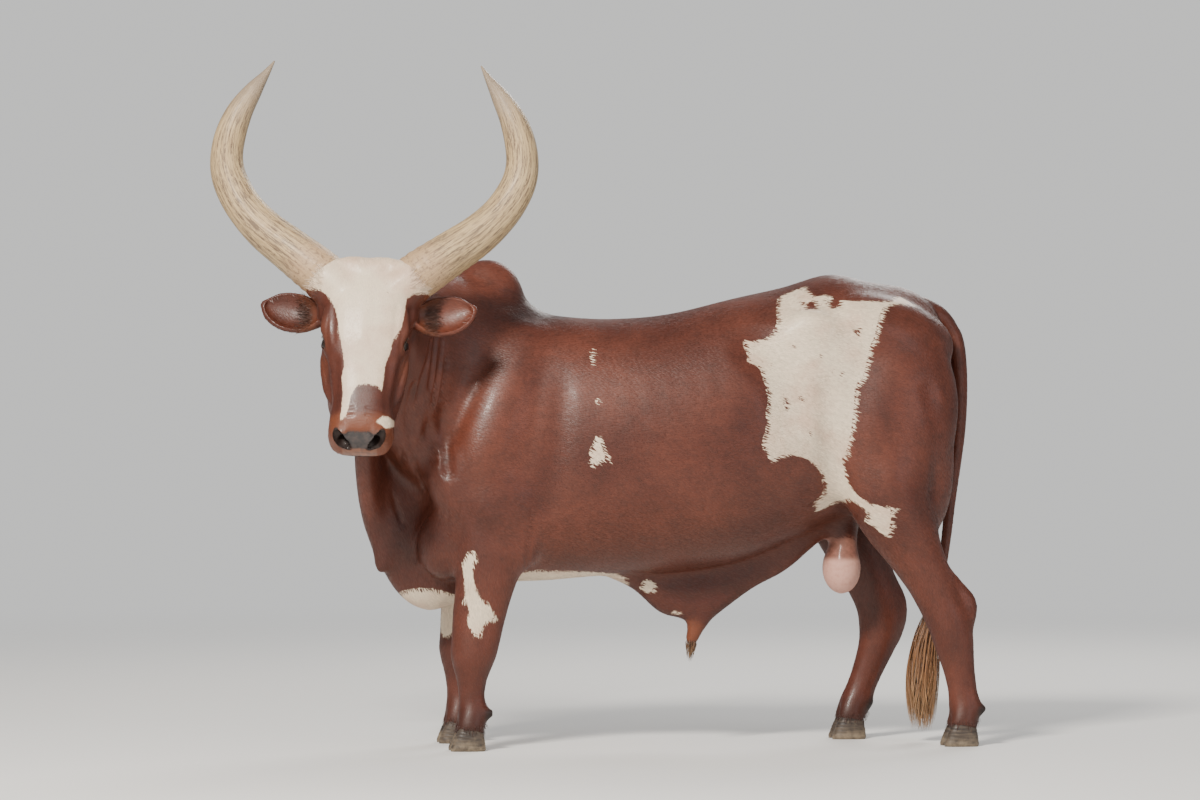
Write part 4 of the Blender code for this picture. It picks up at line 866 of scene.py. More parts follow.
# %% Thin the trunk and the head
BODY_TRIANGLES, HEAD_TRIANGLES = 66000, 74000
thin_region(skin, BODY_TRIANGLES, lambda points: ~on_head(points))
thin_region(skin, HEAD_TRIANGLES, on_head)
skin.data.calc_loop_triangles()
print("skin thinned to", len(skin.data.loop_triangles), "triangles")

# %% Eyelids
def eye_frame(side):
    """Centre of one eye in the head's frame, the way it looks, towards the nose, and up to the brow."""
    centre = np.array([EYE_FROM_POLL, side * 0.104, -0.056])
    gaze = np.array([0.10, side * 0.92, 0.38])
    gaze /= np.linalg.norm(gaze)
    along = np.array([0.89, 0, 0.45])
    along -= gaze * (along @ gaze)
    along /= np.linalg.norm(along)
    up = np.cross(gaze, along)
    up *= np.sign(up[2])
    return centre, gaze, along, up


def lid(name, side, lift, thickness):
    """One eyelid: a tapered roll along the edge of the eye's opening, lift degrees off its middle."""
    centre, gaze, along, up = eye_frame(side)
    rows = []
    for turn in np.linspace(-72, 72, 15):
        arch = math.cos(math.radians(turn * 90 / 72)) ** 0.8 if abs(turn) < 71 else 0
        rise = math.radians(lift) * arch
        turned = math.radians(turn)
        way = math.cos(rise) * (math.cos(turned) * gaze + math.sin(turned) * along) + math.sin(rise) * up
        thick = thickness / 2 * (0.55 + 0.45 * math.cos(turned))
        rows.append((*(centre + way * (EYE_RADIUS + 0.0012)), thick, thick * 1.15))
    return limb_form(name, rows, HEAD_PLACE, steps=2, sides=14, side_axis=tuple(gaze))


UPPER_LID_LIFT, LOWER_LID_LIFT = 46, -42
for side in (-1, 1):
    rolls = [lid("upper_lid", side, UPPER_LID_LIFT, LID_THICKNESS),
             lid("lower_lid", side, LOWER_LID_LIFT, LID_THICKNESS * 0.9),
             lid("fold_over_lid", side, UPPER_LID_LIFT + 27, LID_THICKNESS * 0.75)]
    combine(skin, rolls, "UNION")
EYE_CORNERS = [  # along the opening from the eye's middle, out from its centre, half height, half depth
    (-0.0215, 0.0150, 0.0012, 0.0020), (-0.0150, 0.0165, 0.0068, 0.0045), (0.0, 0.0185, 0.0105, 0.0060),
    (0.0150, 0.0165, 0.0068, 0.0045), (0.0235, 0.0140, 0.0012, 0.0020),
]
for side in (-1, 1):
    centre, gaze, along, up = eye_frame(side)
    rows = [(*(centre + along * ahead + gaze * out), deep, tall) for ahead, out, tall, deep in EYE_CORNERS]
    opening = limb_form("opening", rows, HEAD_PLACE, steps=4, sides=16, side_axis=tuple(up))
    socket = ball_form("socket", centre, (EYE_RADIUS + 0.0003,) * 3, matrix=HEAD_PLACE, segments=48)
    combine(skin, [opening, socket], "DIFFERENCE")
print("eyelids rolled and eyes opened")

# %% Nostrils and mouth
NOSTRIL = [  # x, y, z of the comma's line, then its half depth and half width
    (0.577, 0.029, -0.057, 0.009, 0.006), (0.572, 0.039, -0.047, 0.015, 0.0115),
    (0.563, 0.050, -0.036, 0.018, 0.0135), (0.551, 0.061, -0.027, 0.016, 0.0115),
    (0.537, 0.069, -0.022, 0.008, 0.006),
]
PASSAGE = [  # the same for the way in behind it
    (0.590, 0.050, -0.030, 0.016, 0.014), (0.556, 0.046, -0.046, 0.014, 0.013),
    (0.515, 0.038, -0.056, 0.008, 0.008),
]
MOUTH = [(0.452, 0.106, -0.118), (0.485, 0.098, -0.113), (0.520, 0.092, -0.110), (0.550, 0.078, -0.108),
         (0.572, 0.050, -0.108), (0.580, 0.020, -0.108)]


def face_cuts(place):
    """Cutters for the nostrils and for the line of the mouth."""
    cuts = []
    for side in (-1, 1):
        comma = [(x, side * y, z, depth, width) for x, y, z, depth, width in NOSTRIL]
        passage = [(x, side * y, z, depth, width) for x, y, z, depth, width in PASSAGE]
        cuts.append(limb_form("nostril", comma, place, steps=5, sides=20, side_axis=(0, 0, 1)))
        cuts.append(limb_form("nostril_passage", passage, place, steps=5, sides=16, side_axis=(0, 0, 1)))
    line = MOUTH + [(x, -y, z) for x, y, z in reversed(MOUTH)]
    rows = [(x, y, z, 0.014, MOUTH_GAP / 2) for x, y, z in line]
    cuts.append(limb_form("mouth", rows, place, steps=1, sides=6, side_axis=(0, 0, 1)))
    return cuts


combine(skin, face_cuts(HEAD_PLACE), "DIFFERENCE")
skin.data.calc_loop_triangles()
print("face cut:", len(skin.data.loop_triangles), "triangles")

# %% Ears
EAR_VOXEL = 0.0034
EAR_OUTER = [
    (0.148, 0.090, -0.098, 0.024, 0.45), (0.150, 0.125, -0.105, 0.026, 0.52),
    (0.151, 0.150, -0.112, 0.026, 0.70), (0.148, 0.183, -0.118, 0.025, 0.93),
    (0.141, 0.217, -0.122, 0.022, 1.00), (0.132, 0.252, -0.125, 0.018, 0.94),
    (0.122, 0.286, -0.127, 0.013, 0.68), (0.110, 0.115 + EAR_LENGTH, -0.128, 0.005, 0.14),
]
EAR_CUP = [
    (0.150, 0.142, -0.092, 0.018, 0.34), (0.149, 0.168, -0.095, 0.028, 0.62),
    (0.147, 0.190, -0.098, 0.034, 0.82), (0.140, 0.220, -0.102, 0.035, 0.88),
    (0.131, 0.250, -0.108, 0.028, 0.82), (0.122, 0.279, -0.114, 0.019, 0.56),
    (0.114, 0.300, -0.119, 0.009, 0.20),
]
EAR_FOLDS = [
    ([(0.163, 0.165, -0.122), (0.149, 0.262, -0.122)], 0.006, -0.0028),
    ([(0.144, 0.168, -0.127), (0.130, 0.270, -0.127)], 0.006, -0.0028),
    ([(0.124, 0.175, -0.126), (0.110, 0.255, -0.126)], 0.006, -0.0028),
]


def ear_rows(rows, side):
    """Rows of one ear with their widths in metres."""
    return [(x, side * y, z, depth, wide * EAR_WIDTH / 2) for x, y, z, depth, wide in rows]


for side in (-1, 1):
    ear = limb_form("ear", ear_rows(EAR_OUTER, side), HEAD_PLACE, steps=4, sides=28, side_axis=(1, 0, 0))
    cup = limb_form("cup", ear_rows(EAR_CUP, side), HEAD_PLACE, steps=4, sides=28, side_axis=(1, 0, 0))
    combine(ear, [cup], "DIFFERENCE")
    ear = fused("ear", [ear], EAR_VOXEL)
    relax(ear, 3, 0.4)
    for stroke in EAR_FOLDS:
        press(ear, on_face([stroke], side))
    combine(skin, [ear], "UNION")

# %% Tail
tail = limb_form("tail", tail_rows(), steps=5, sides=22)
combine(skin, [tail], "UNION")


def eased_seams(points):
    """Strong at the roots of the ears and the tail, lighter round the eyes, the nostrils and the lips."""
    local = in_head_frame(points)
    local[:, 1] = np.abs(local[:, 1])
    share = np.zeros(len(points))
    for place, radius, strength in (
        ((0.150, 0.128, -0.106), 0.034, 0.6), ((0.262, 0.118, -0.052), 0.046, 0.32),
        ((0.548, 0.052, -0.036), 0.036, 0.45),
    ):
        close = np.linalg.norm(local - place, axis=1) < radius
        share = np.where(close, np.maximum(share, strength), share)
    root = np.linalg.norm(points - (1.05, 0.0, 1.29), axis=1) < 0.075
    return np.where(root, 0.6, share)


relax(skin, 6, eased_seams)
largest_body(skin)
skin.data.calc_loop_triangles()
print("skin with ears and tail:", len(skin.data.loop_triangles), "triangles")

# %% Set the skin in by the depth of the coat
COAT_DEPTH = 0.0012
set_coordinates(skin, coordinates(skin) - outward(skin) * COAT_DEPTH)
skin.data.shade_smooth()

# %% [markdown]
# ## Where the coat changes colour
#
# The hide is mahogany with cream patches. A patch follows no form of the body, so it is easiest to
# give as an outline seen from the camera, in pixels of the photo's frame. Every point of the hide
# then gets one number: how many metres inside a patch it lies. A shader turns that number into a
# ragged edge later. Skin and hair read the same function, so they carry the same markings.

# %% Outlines of the cream patches
FLANK_PATCH = [
    (777, 297), (800, 288), (811, 297), (822, 295), (832, 300), (851, 301), (886, 301), (897, 296),
    (916, 305), (897, 303), (884, 305), (879, 316), (876, 332), (870, 345), (867, 361), (862, 379),
    (855, 385), (853, 419), (849, 438), (846, 454), (841, 460), (846, 481), (854, 492), (867, 503),
    (883, 506), (895, 507), (891, 517), (890, 527), (887, 537), (879, 532), (871, 525), (863, 521),
    (867, 514), (860, 505), (849, 498), (835, 501), (822, 509), (811, 514), (814, 501), (822, 495),
    (823, 482), (820, 471), (806, 458), (792, 454), (777, 456), (769, 461), (761, 444), (766, 431),
    (766, 414), (768, 399), (765, 385), (761, 371), (755, 364), (745, 363), (747, 355), (741, 339),
    (752, 341), (765, 339), (773, 332), (777, 323), (776, 310),
]
FORELEG_PATCH = [
    (466, 552), (476, 550), (475, 560), (471, 566), (473, 575), (476, 587), (483, 601), (489, 602),
    (493, 611), (499, 618), (491, 619), (484, 621), (483, 628), (481, 634), (476, 637), (472, 634),
    (470, 627), (466, 620), (469, 611), (468, 603), (462, 599), (465, 591), (464, 577), (462, 562),
]
RIB_MARKS = [
    [(588.6, 345), (591.5, 355), (588.6, 365), (586, 355)],
    [(595, 397), (598, 401), (595, 405), (592, 401)],
    [(596, 430), (602, 448), (609, 462), (600, 458), (594, 463), (585, 466), (589, 452)],
]
BLAZE = [
    (300, 236), (309, 291), (322, 291), (330, 300), (336, 312), (340, 334), (343, 353), (344, 363),
    (342, 377), (343, 393), (341, 410), (340, 420), (346, 416), (349, 406), (351, 395), (357, 385),
    (366, 383), (375, 384), (382, 390), (384, 375), (386, 363), (390, 353), (393, 340), (401, 328),
    (405, 312), (406, 300), (413, 295), (430, 295), (446, 236),
]
LIP_PATCH = [(376, 421), (383, 416), (388, 416), (394, 421), (394, 427), (386, 428)]
DARK_SPOTS = [  # middle, then half width and half height
    (809, 306, 6, 4.5), (832, 304, 6, 5), (854, 331, 3, 4), (798, 303, 2, 2), (807, 431, 2, 2.5),
    (817, 355, 2, 2), (798, 397, 2, 2), (783, 402, 1.4, 8), (790, 345, 1.6, 1.6), (838, 372, 1.5, 2.5),
]
METRES_PER_PIXEL = 0.003
UNDERSIDE_WHITES = [  # middle and half sizes, in metres
    ((-0.530, -0.030, 0.425), (0.105, 0.105, 0.055)),
    ((-0.455, 0.125, 0.385), (0.045, 0.045, 0.060)),
    ((-0.190, 0.010, 0.495), (0.270, 0.165, 0.060)),
    ((0.135, -0.040, 0.480), (0.022, 0.022, 0.022)),
    ((0.222, -0.036, 0.392), (0.020, 0.020, 0.014)),
]


def inside_outline(places, outline):
    """How far inside a closed outline each place is, in the outline's own units. Outside is negative."""
    outline = np.asarray(outline, float)
    nearest = np.full(len(places), np.inf)
    within = np.zeros(len(places), bool)
    for start, end in zip(outline, np.roll(outline, -1, axis=0)):
        nearest = np.minimum(nearest, distance_to_route(places, [start, end]))
        spans = (start[1] > places[:, 1]) != (end[1] > places[:, 1])
        rise = end[1] - start[1] if end[1] != start[1] else 1e-9
        crossing = start[0] + (places[:, 1] - start[1]) * (end[0] - start[0]) / rise
        within ^= spans & (places[:, 0] < crossing)
    return np.where(within, nearest, -nearest)


def patch_depth(places):
    """Metres inside the cream of the flank, foreleg and ribs, for places in the photo's frame."""
    depth = inside_outline(places, FLANK_PATCH)
    for x, y, wide, high in DARK_SPOTS:
        reach = np.hypot((places[:, 0] - x) / wide, (places[:, 1] - y) / high)
        depth = np.minimum(depth, (reach - 1) * min(wide, high))
    for outline in [FORELEG_PATCH] + RIB_MARKS:
        depth = np.maximum(depth, inside_outline(places, outline))
    return depth * METRES_PER_PIXEL


print(len(FLANK_PATCH), "points round the flank's patch")

# %% The same markings, painted shade and painted sheen for skin and hair
def between(values, low, high):
    """Rises smoothly from 0 at low to 1 at high."""
    share = np.clip((values - low) / (high - low), 0, 1)
    return share * share * (3 - 2 * share)


def near(points, place, radius):
    """Fades from 1 at a place to 0 at a distance of radius from it."""
    return 1 - between(np.linalg.norm(points - place, axis=1), radius * 0.4, radius)


def face_marks(points, normals):
    """The head's share of the markings, painted shade and painted sheen, each 0 away from the head apart from
    the cream.
    """
    local = in_head_frame(points)
    facing = normals @ HEAD_TURN
    x, y, z = local[:, 0], np.abs(local[:, 1]), local[:, 2]
    head = on_head(points).astype(float)
    places = photo_place(points)
    blaze = inside_outline(places, BLAZE) * METRES_PER_PIXEL
    blaze = np.minimum(blaze, np.where(facing[:, 2] > -0.35, 0.02, -0.02) + 0.03 * (z > -0.11) - 0.03)
    lip = inside_outline(places, LIP_PATCH) * METRES_PER_PIXEL - 0.05 * (z < -0.125)
    folded = np.column_stack([x, y, z])
    pad = between(x + 0.10 * y, 0.530, 0.540) * between(-y, -0.060, -0.046) * between(-z, 0.016, 0.024)
    upper_pad = pad * between(z, -0.066, -0.046)
    # Painted shade: darkness inside the nostrils and their passages, which are also left bare.
    shaded_nostrils = np.zeros(len(points))
    turned = facing * np.column_stack([np.ones(len(y)), np.where(local[:, 1] < 0, -1, 1), np.ones(len(y))])
    for row in np.vstack([spline(NOSTRIL, 3), spline(PASSAGE, 3)]):
        away = np.linalg.norm(folded - row[:3], axis=1)
        inward = -np.einsum("ij,ij->i", turned, folded - row[:3]) / np.maximum(away, 1e-6)
        reach = row[4] + (1.2 * max(row[3], row[4]) - row[4]) * between(inward, -0.25, 0.25)
        shaded_nostrils = np.maximum(shaded_nostrils, 1 - between(away, 0.95 * reach, 0.95 * reach + 0.004))
    # Painted shade: a dark line along the cut of the mouth, which is also left bare.
    lips = 1 - between(distance_to_route(folded, MOUTH + [(0.580, 0.0, -0.108)]), 0.003, 0.007)
    ear = between(y, 0.140, 0.165) * (x > 0.05) * (z > -0.2)
    cup = ear * between(facing[:, 2], 0.0, 0.5) * (1 - between(y, 0.270, 0.310))
    # Painted shade in the hollow of each ear.
    deep = ear * near(np.column_stack([x * 0.8, y, z]), (0.122, 0.190, -0.118), 0.052)
    # Painted sheen: a warm highlight in a strip beside the blaze on each cheek.
    sheen_strip = near(np.column_stack([x * 0.45, y, z]), (0.105, 0.112, -0.035), 0.036)
    sheen_strip += near(np.column_stack([x * 0.55, y, z]), (0.180, 0.116, -0.075), 0.034)
    muzzle = between(x, 0.468, 0.500) * between(z + 0.8 * x, 0.31, 0.34)
    eye = np.linalg.norm(folded - (EYE_FROM_POLL, 0.104, -0.056), axis=1)
    rim = 1 - between(eye, EYE_RADIUS + 0.001, EYE_RADIUS + 0.007)
    return {
        "white": np.where(head > 0, np.maximum(blaze, lip), -0.05),
        "warm_and_sheen": np.clip(0.85 * muzzle + 0.85 * ear + 0.30 * np.clip(sheen_strip, 0, 1), 0, 1) * head,
        "dark_and_shade": np.clip(shaded_nostrils + lips + upper_pad + 0.75 * deep + 0.55 * rim, 0, 1) * head,
        "bare": np.clip(pad + shaded_nostrils + lips + 0.45 * cup + rim, 0, 1) * head,
        "wet": np.clip((0.6 * pad + 0.4 * upper_pad) * (1 - shaded_nostrils) + 0.35 * rim, 0, 1) * head,
    }


def markings(points, normals):
    """Metres inside the cream, and the warmth, darkness, bareness, wetness and pinkness of the hide at each
    point. Darkness is partly the hide's own and partly painted shade in the nostrils, along the mouth, in the
    ear hollows and on the low front of the chest; warmth is partly its own and partly a painted sheen beside
    the blaze.
    """
    marks = face_marks(points, normals)
    left = patch_depth(photo_place(points)) - 0.3 * between(normals[:, 1], 0.15, 0.6)
    turned = (points - (0.60, 0.0, 1.00)) * (-1.05, -1.0, 1.30) + (0.72, 0.0, 1.00)
    right = patch_depth(photo_place(turned)) - 0.3 * between(-normals[:, 1], 0.15, 0.6)
    body = np.where(points[:, 1] < 0, left, right)
    for place, half in UNDERSIDE_WHITES:
        reach = np.linalg.norm((points - place) / half, axis=1)
        body = np.maximum(body, (1 - reach) * min(half))
    marks["white"] = np.where(on_head(points), marks["white"], body)
    marks["white"] = np.clip(marks["white"], -0.05, 0.05)
    tip = near(points, (0.278, 0, 0.335), 0.060)
    hoofward = 1 - between(points[:, 2], 0.07, 0.16)
    under = between(-normals[:, 2], 0.2, 0.9) * between(points[:, 2], 0.4, 0.5)
    # Painted shade on the low front of the chest, under the head and neck.
    neck = between(-points[:, 0], 0.50, 0.62) * between(-points[:, 2], -0.75, -0.55)
    spurs = np.zeros(len(points))
    for side, pair, word, x, y in feet():
        for inner in (-1, 1):
            spurs += near(points, (x + 0.062, y + inner * 0.026, 0.108), 0.030)
    purse = near(points, (0.737, 0, 0.520), 0.16) * between(-points[:, 2], -0.66, -0.60)
    purse *= between(-np.abs(points[:, 1]), -0.110, -0.085) * between(points[:, 2], 0.42, 0.43)
    marks["warm_and_sheen"] = np.clip(marks["warm_and_sheen"] + 0.9 * tip + 0.15 * under, 0, 1)
    marks["dark_and_shade"] = np.clip(marks["dark_and_shade"] + 0.50 * hoofward + 0.15 * neck + 0.7 * spurs, 0, 1)
    marks["pink"] = purse * (0.45 + 0.55 * between(-points[:, 2], -0.575, -0.535))
    marks["bare"] = np.clip(marks["bare"] + between(purse, 0.1, 0.6), 0, 1)
    return marks


def add_attributes(made, values, domain="POINT"):
    """Stores each array of values on a mesh under its name."""
    for name, array in values.items():
        layer = made.data.attributes.new(name, "FLOAT", domain)
        layer.data.foreach_set("value", np.ascontiguousarray(array, dtype=np.float32))


marks = markings(coordinates(skin), outward(skin))
add_attributes(skin, marks)
print("cream:", int((marks["white"] > 0).sum()), "of", len(skin.data.vertices), "vertices")

# %% [markdown]
# ## Finishes
#
# Every finish is grown from noise and from those masks, so it holds up from any side. Skin and hair
# share one group of nodes that turns the masks into a colour, and a second one gives the skin its
# fine grain.

# %% Helpers for node trees
def fill(tree, made, inputs):
    """Sets a node's inputs, each either to a socket to link from or to a plain value."""
    for key, value in inputs.items():
        if isinstance(value, bpy.types.NodeSocket):
            tree.links.new(value, made.inputs[key])
        else:
            made.inputs[key].default_value = value
    return made


def node(tree, kind, inputs=None, **settings):
    """Adds a shader node with its inputs and settings."""
    made = tree.nodes.new("ShaderNode" + kind)
    for key, value in settings.items():
        setattr(made, key, value)
    return fill(tree, made, inputs or {})


def mixed(tree, share, low, high):
    """A colour between two others."""
    return node(tree, "Mix", {0: share, 6: low, 7: high}, data_type="RGBA", clamp_factor=True).outputs[2]


def ramp(tree, value, low, high, first=0.0, last=1.0):
    """Carries value from first at low smoothly to last at high."""
    sockets = {"Value": value, "From Min": low, "From Max": high, "To Min": first, "To Max": last}
    return node(tree, "MapRange", sockets, interpolation_type="SMOOTHSTEP").outputs[0]


def plus(tree, first, second):
    """The sum of two values."""
    return node(tree, "Math", {0: first, 1: second}, operation="ADD").outputs[0]


def times(tree, first, second):
    """The product of two values."""
    return node(tree, "Math", {0: first, 1: second}, operation="MULTIPLY").outputs[0]


def grain(tree, place, scale, detail=3.0, stretch=(1, 1, 1), roughness=0.55):
    """Noise at a scale, drawn out along the axes where stretch is small."""
    mapped = node(tree, "Mapping", {"Vector": place, "Scale": stretch}).outputs[0]
    sockets = {"Vector": mapped, "Scale": scale, "Detail": detail, "Roughness": roughness}
    return node(tree, "TexNoise", sockets).outputs[0]


def mask(tree, name):
    """One of the values stored on the mesh."""
    return node(tree, "Attribute", attribute_name=name).outputs["Fac"]


def group(name, inputs, outputs):
    """A new group of nodes. Sockets are given as (name, kind, value)."""
    tree = bpy.data.node_groups.new(name, "ShaderNodeTree")
    for way, sockets in (("INPUT", inputs), ("OUTPUT", outputs)):
        for label, kind, value in sockets:
            made = tree.interface.new_socket(label, in_out=way, socket_type="NodeSocket" + kind)
            if value is not None:
                made.default_value = value
    return tree, tree.nodes.new("NodeGroupInput").outputs, tree.nodes.new("NodeGroupOutput").inputs


def use(tree, shared, inputs):
    """Places a group in a tree with its inputs, and gives back its outputs."""
    return fill(tree, node(tree, "Group", node_tree=shared), inputs).outputs


def feed(tree, shader, **sockets):
    """Links sockets to the inputs of a shader that have these names."""
    fill(tree, shader, {key.replace("_", " "): value for key, value in sockets.items()})


def bump(tree, height, strength, distance):
    """A normal from a height."""
    sockets = {"Height": height, "Strength": strength, "Distance": distance}
    return node(tree, "Bump", sockets).outputs[0]


def material(name, **constants):
    """A material with a Principled shader. Keywords are its plain settings."""
    made = bpy.data.materials.new(name)
    made.use_nodes = True
    shader = made.node_tree.nodes["Principled BSDF"]
    for key, value in constants.items():
        shader.inputs[key.replace("_", " ")].default_value = value
    return made, made.node_tree, shader


print("node helpers ready")

# %% A shared group: the colour of the coat, with painted shade and painted sheen
MAHOGANY, CHESTNUT = (0.072, 0.017, 0.009, 1), (0.125, 0.033, 0.018, 1)
RUST, SHADOW = (0.160, 0.045, 0.018, 1), (0.014, 0.006, 0.004, 1)
CREAM, SKIN_TINT = (0.740, 0.605, 0.445, 1), (0.620, 0.440, 0.315, 1)

tree, given, put = group(
    "coat colour",
    [("Place", "Vector", None), ("Cream depth", "Float", 0.0), ("Warm and sheen", "Float", 0.0), ("Dark and shade", "Float", 0.0),
     ("Edge raggedness", "Float", 0.010)],
    [("Colour", "Color", None), ("Cream", "Float", None)],
)
coat_colour, place = tree, given["Place"]
coarse = plus(tree, grain(tree, place, 42.0), -0.5)
fine = plus(tree, grain(tree, place, 190.0), -0.5)
ragged = plus(tree, coarse, times(tree, fine, 0.5))
ragged = times(tree, ragged, given["Edge raggedness"])
cream = ramp(tree, plus(tree, given["Cream depth"], ragged), -0.0012, 0.0012)
clouds = grain(tree, place, 3.2, detail=4.0)
brown = mixed(tree, ramp(tree, clouds, 0.35, 0.68), MAHOGANY, CHESTNUT)
smudges = ramp(tree, grain(tree, place, 26.0), 0.35, 0.8, 0.0, 0.3)
brown = mixed(tree, smudges, brown, SHADOW)
# Rust: the own colour of muzzle, ears and sheath tip, and a painted sheen in strips beside the blaze.
brown = mixed(tree, given["Warm and sheen"], brown, RUST)
# Near black: the own colour of the lower legs, dew claws, lid rims and the top of the nose pad, and painted
# shade in the nostrils, along the mouth, in the ear hollows and on the low front of the chest.
brown = mixed(tree, given["Dark and shade"], brown, SHADOW)
warmth = ramp(tree, grain(tree, place, 9.0), 0.40, 0.75)
pale = mixed(tree, warmth, CREAM, SKIN_TINT)
flecks = ramp(tree, grain(tree, place, 120.0, detail=1.0), 0.74, 0.80, 0.0, 0.45)
pale = mixed(tree, flecks, pale, RUST)
tree.links.new(mixed(tree, cream, brown, pale), put["Colour"])
tree.links.new(cream, put["Cream"])

# %% A shared group: fine grain for bumps
tree, given, put = group(
    "fine grain",
    [("Place", "Vector", None), ("Scale", "Float", 300.0), ("Lengthwise", "Float", 0.0)],
    [("Height", "Float", None)],
)
fine_grain = tree
fore_and_aft = node(tree, "Mapping", {"Vector": given["Place"], "Scale": (0.16, 1, 1)}).outputs[0]
up_and_down = node(tree, "Mapping", {"Vector": given["Place"], "Scale": (1, 1, 0.16)}).outputs[0]
heights = []
for way in (fore_and_aft, up_and_down):
    sockets = {"Vector": way, "Scale": given["Scale"], "Detail": 2.0}
    heights.append(node(tree, "TexNoise", sockets).outputs[0])
blend_of_two = node(tree, "Mix", {0: given["Lengthwise"], 2: heights[0], 3: heights[1]}, data_type="FLOAT")
tree.links.new(blend_of_two.outputs[0], put["Height"])
print("groups:", [tree.name for tree in bpy.data.node_groups])

# %% [markdown]
# The skin shows at the nose, in the ears, round the eyes and on the scrotum, and everywhere between
# the tufts. The nose is dark, pebbled and wet; the scrotum is pink and finely wrinkled across.

# %% Skin
hide, tree, shader = material(
    "hide", Roughness=0.55, Specular_IOR_Level=0.35, Coat_Roughness=0.14)
place = node(tree, "TexCoord").outputs["Object"]
bare, wet, pink, dark_and_shade = mask(tree, "bare"), mask(tree, "wet"), mask(tree, "pink"), mask(tree, "dark_and_shade")
coat = use(tree, coat_colour, {
    "Place": place, "Cream depth": mask(tree, "white"), "Warm and sheen": mask(tree, "warm_and_sheen"), "Dark and shade": dark_and_shade})
patchy = ramp(tree, grain(tree, place, 60.0), 0.4, 0.65)
tan_pad = mixed(tree, patchy, (0.235, 0.098, 0.056, 1), (0.150, 0.066, 0.042, 1))
dark_pad = mixed(tree, patchy, (0.014, 0.010, 0.010, 1), (0.040, 0.026, 0.023, 1))
pad = mixed(tree, ramp(tree, dark_and_shade, 0.15, 0.75), tan_pad, dark_pad)
colour = mixed(tree, ramp(tree, wet, 0.30, 0.60, 0.0, 0.92), coat["Colour"], pad)
purse = mixed(tree, ramp(tree, pink, 0.5, 0.9), (0.200, 0.085, 0.060, 1), (0.600, 0.330, 0.260, 1))
purse = mixed(tree, ramp(tree, grain(tree, place, 90.0), 0.4, 0.8, 0.0, 0.4), purse, (0.42, 0.17, 0.13, 1))
colour = mixed(tree, ramp(tree, pink, 0.02, 0.3), colour, purse)
feed(tree, shader, Base_Color=colour, Coat_Weight=ramp(tree, wet, 0.4, 1.0, 0.1, 0.9))
feed(tree, shader, Roughness=ramp(tree, bare, 0.0, 1.0, 0.50, 0.66))
hair = use(tree, fine_grain, {"Place": place, "Scale": 240.0, "Lengthwise": 0.4})["Height"]
pebbles = node(tree, "TexVoronoi", {"Vector": place, "Scale": 260.0}).outputs["Distance"]
wrinkles = grain(tree, place, 110.0, stretch=(0.5, 0.5, 2.4))
height = node(tree, "Mix", {0: wet, 2: hair, 3: pebbles}, data_type="FLOAT").outputs[0]
wrinkled = ramp(tree, pink, 0.1, 0.5)
height = node(tree, "Mix", {0: wrinkled, 2: height, 3: wrinkles}, data_type="FLOAT").outputs[0]
feed(tree, shader, Normal=bump(tree, height, 0.6, 0.0016))

# %% Short coat and long hair
short_coat, tree, shader = material(
    "short coat", Roughness=0.44, Specular_IOR_Level=0.45, Sheen_Weight=0.06, Sheen_Roughness=0.35,
    Sheen_Tint=(1.0, 0.80, 0.78, 1))
place = node(tree, "TexCoord").outputs["Object"]
coat = use(tree, coat_colour, {
    "Place": place, "Cream depth": mask(tree, "white"), "Warm and sheen": mask(tree, "warm_and_sheen"),
    "Dark and shade": mask(tree, "dark_and_shade"), "Edge raggedness": 0.004})
shaded = node(tree, "HueSaturation", {"Value": mask(tree, "shade"), "Color": coat["Colour"]}).outputs[0]
feed(tree, shader, Base_Color=shaded)

long_hair, tree, shader = material("long hair", Roughness=0.42, Specular_IOR_Level=0.45, Sheen_Weight=0.15)
along = mask(tree, "along")
colour = mixed(tree, ramp(tree, along, 0.02, 0.40), (0.060, 0.022, 0.010, 1), (0.215, 0.095, 0.036, 1))
colour = mixed(tree, ramp(tree, along, 0.45, 1.0), colour, (0.40, 0.225, 0.105, 1))
colour = node(tree, "HueSaturation", {"Value": mask(tree, "shade"), "Color": colour}).outputs[0]
feed(tree, shader, Base_Color=colour)
print("hide, short coat and long hair mixed")

# %% [markdown]
# ## The short coat
#
# A bull's summer coat is a few millimetres deep and lies flat. Particle hair can't be kept in a part,
# so the coat is real mesh: small spindles, each a thin closed tuft with its root sunk in the skin and
# its tip lifted a little off it. They overlap like tiles, and they follow the way real hair lies:
# back along the trunk, down the legs, up and down the face from a whorl between the eyes. Their
# shading leans towards the skin beneath, so that the coat looks sleek and not woolly.

# %% Map of the skin and a tree to find its surface
def clean_up(made):
    """Melts slivers left by cutting, drops doubled faces and loose points, and counts open edges."""
    shape = bmesh.new()
    shape.from_mesh(made.data)
    bmesh.ops.dissolve_degenerate(shape, dist=1e-6, edges=shape.edges)
    bmesh.ops.triangulate(shape, faces=shape.faces)
    alike = {}
    for face in shape.faces:
        alike.setdefault(frozenset(face.verts), []).append(face)
    twins = [face for faces in alike.values() if len(faces) > 1 for face in faces]
    bmesh.ops.delete(shape, geom=twins, context="FACES")
    bmesh.ops.delete(shape, geom=[edge for edge in shape.edges if not edge.link_faces], context="EDGES")
    bmesh.ops.delete(shape, geom=[vertex for vertex in shape.verts if not vertex.link_faces], context="VERTS")
    print("edges not between two faces:", sum(len(edge.link_faces) != 2 for edge in shape.edges))
    shape.to_mesh(made.data)
    shape.free()
    print("doubled faces found:", made.data.validate())


def unwrapped(made):
    """Gives a mesh a map of its own shape."""
    bpy.context.view_layer.objects.active = made
    made.select_set(True)
    made.data.uv_layers.new(name="OFBake")
    bpy.ops.object.mode_set(mode="EDIT")
    bpy.ops.mesh.select_all(action="SELECT")
    bpy.ops.uv.smart_project(angle_limit=math.radians(72), island_margin=0.002)
    bpy.ops.object.mode_set(mode="OBJECT")
    made.select_set(False)


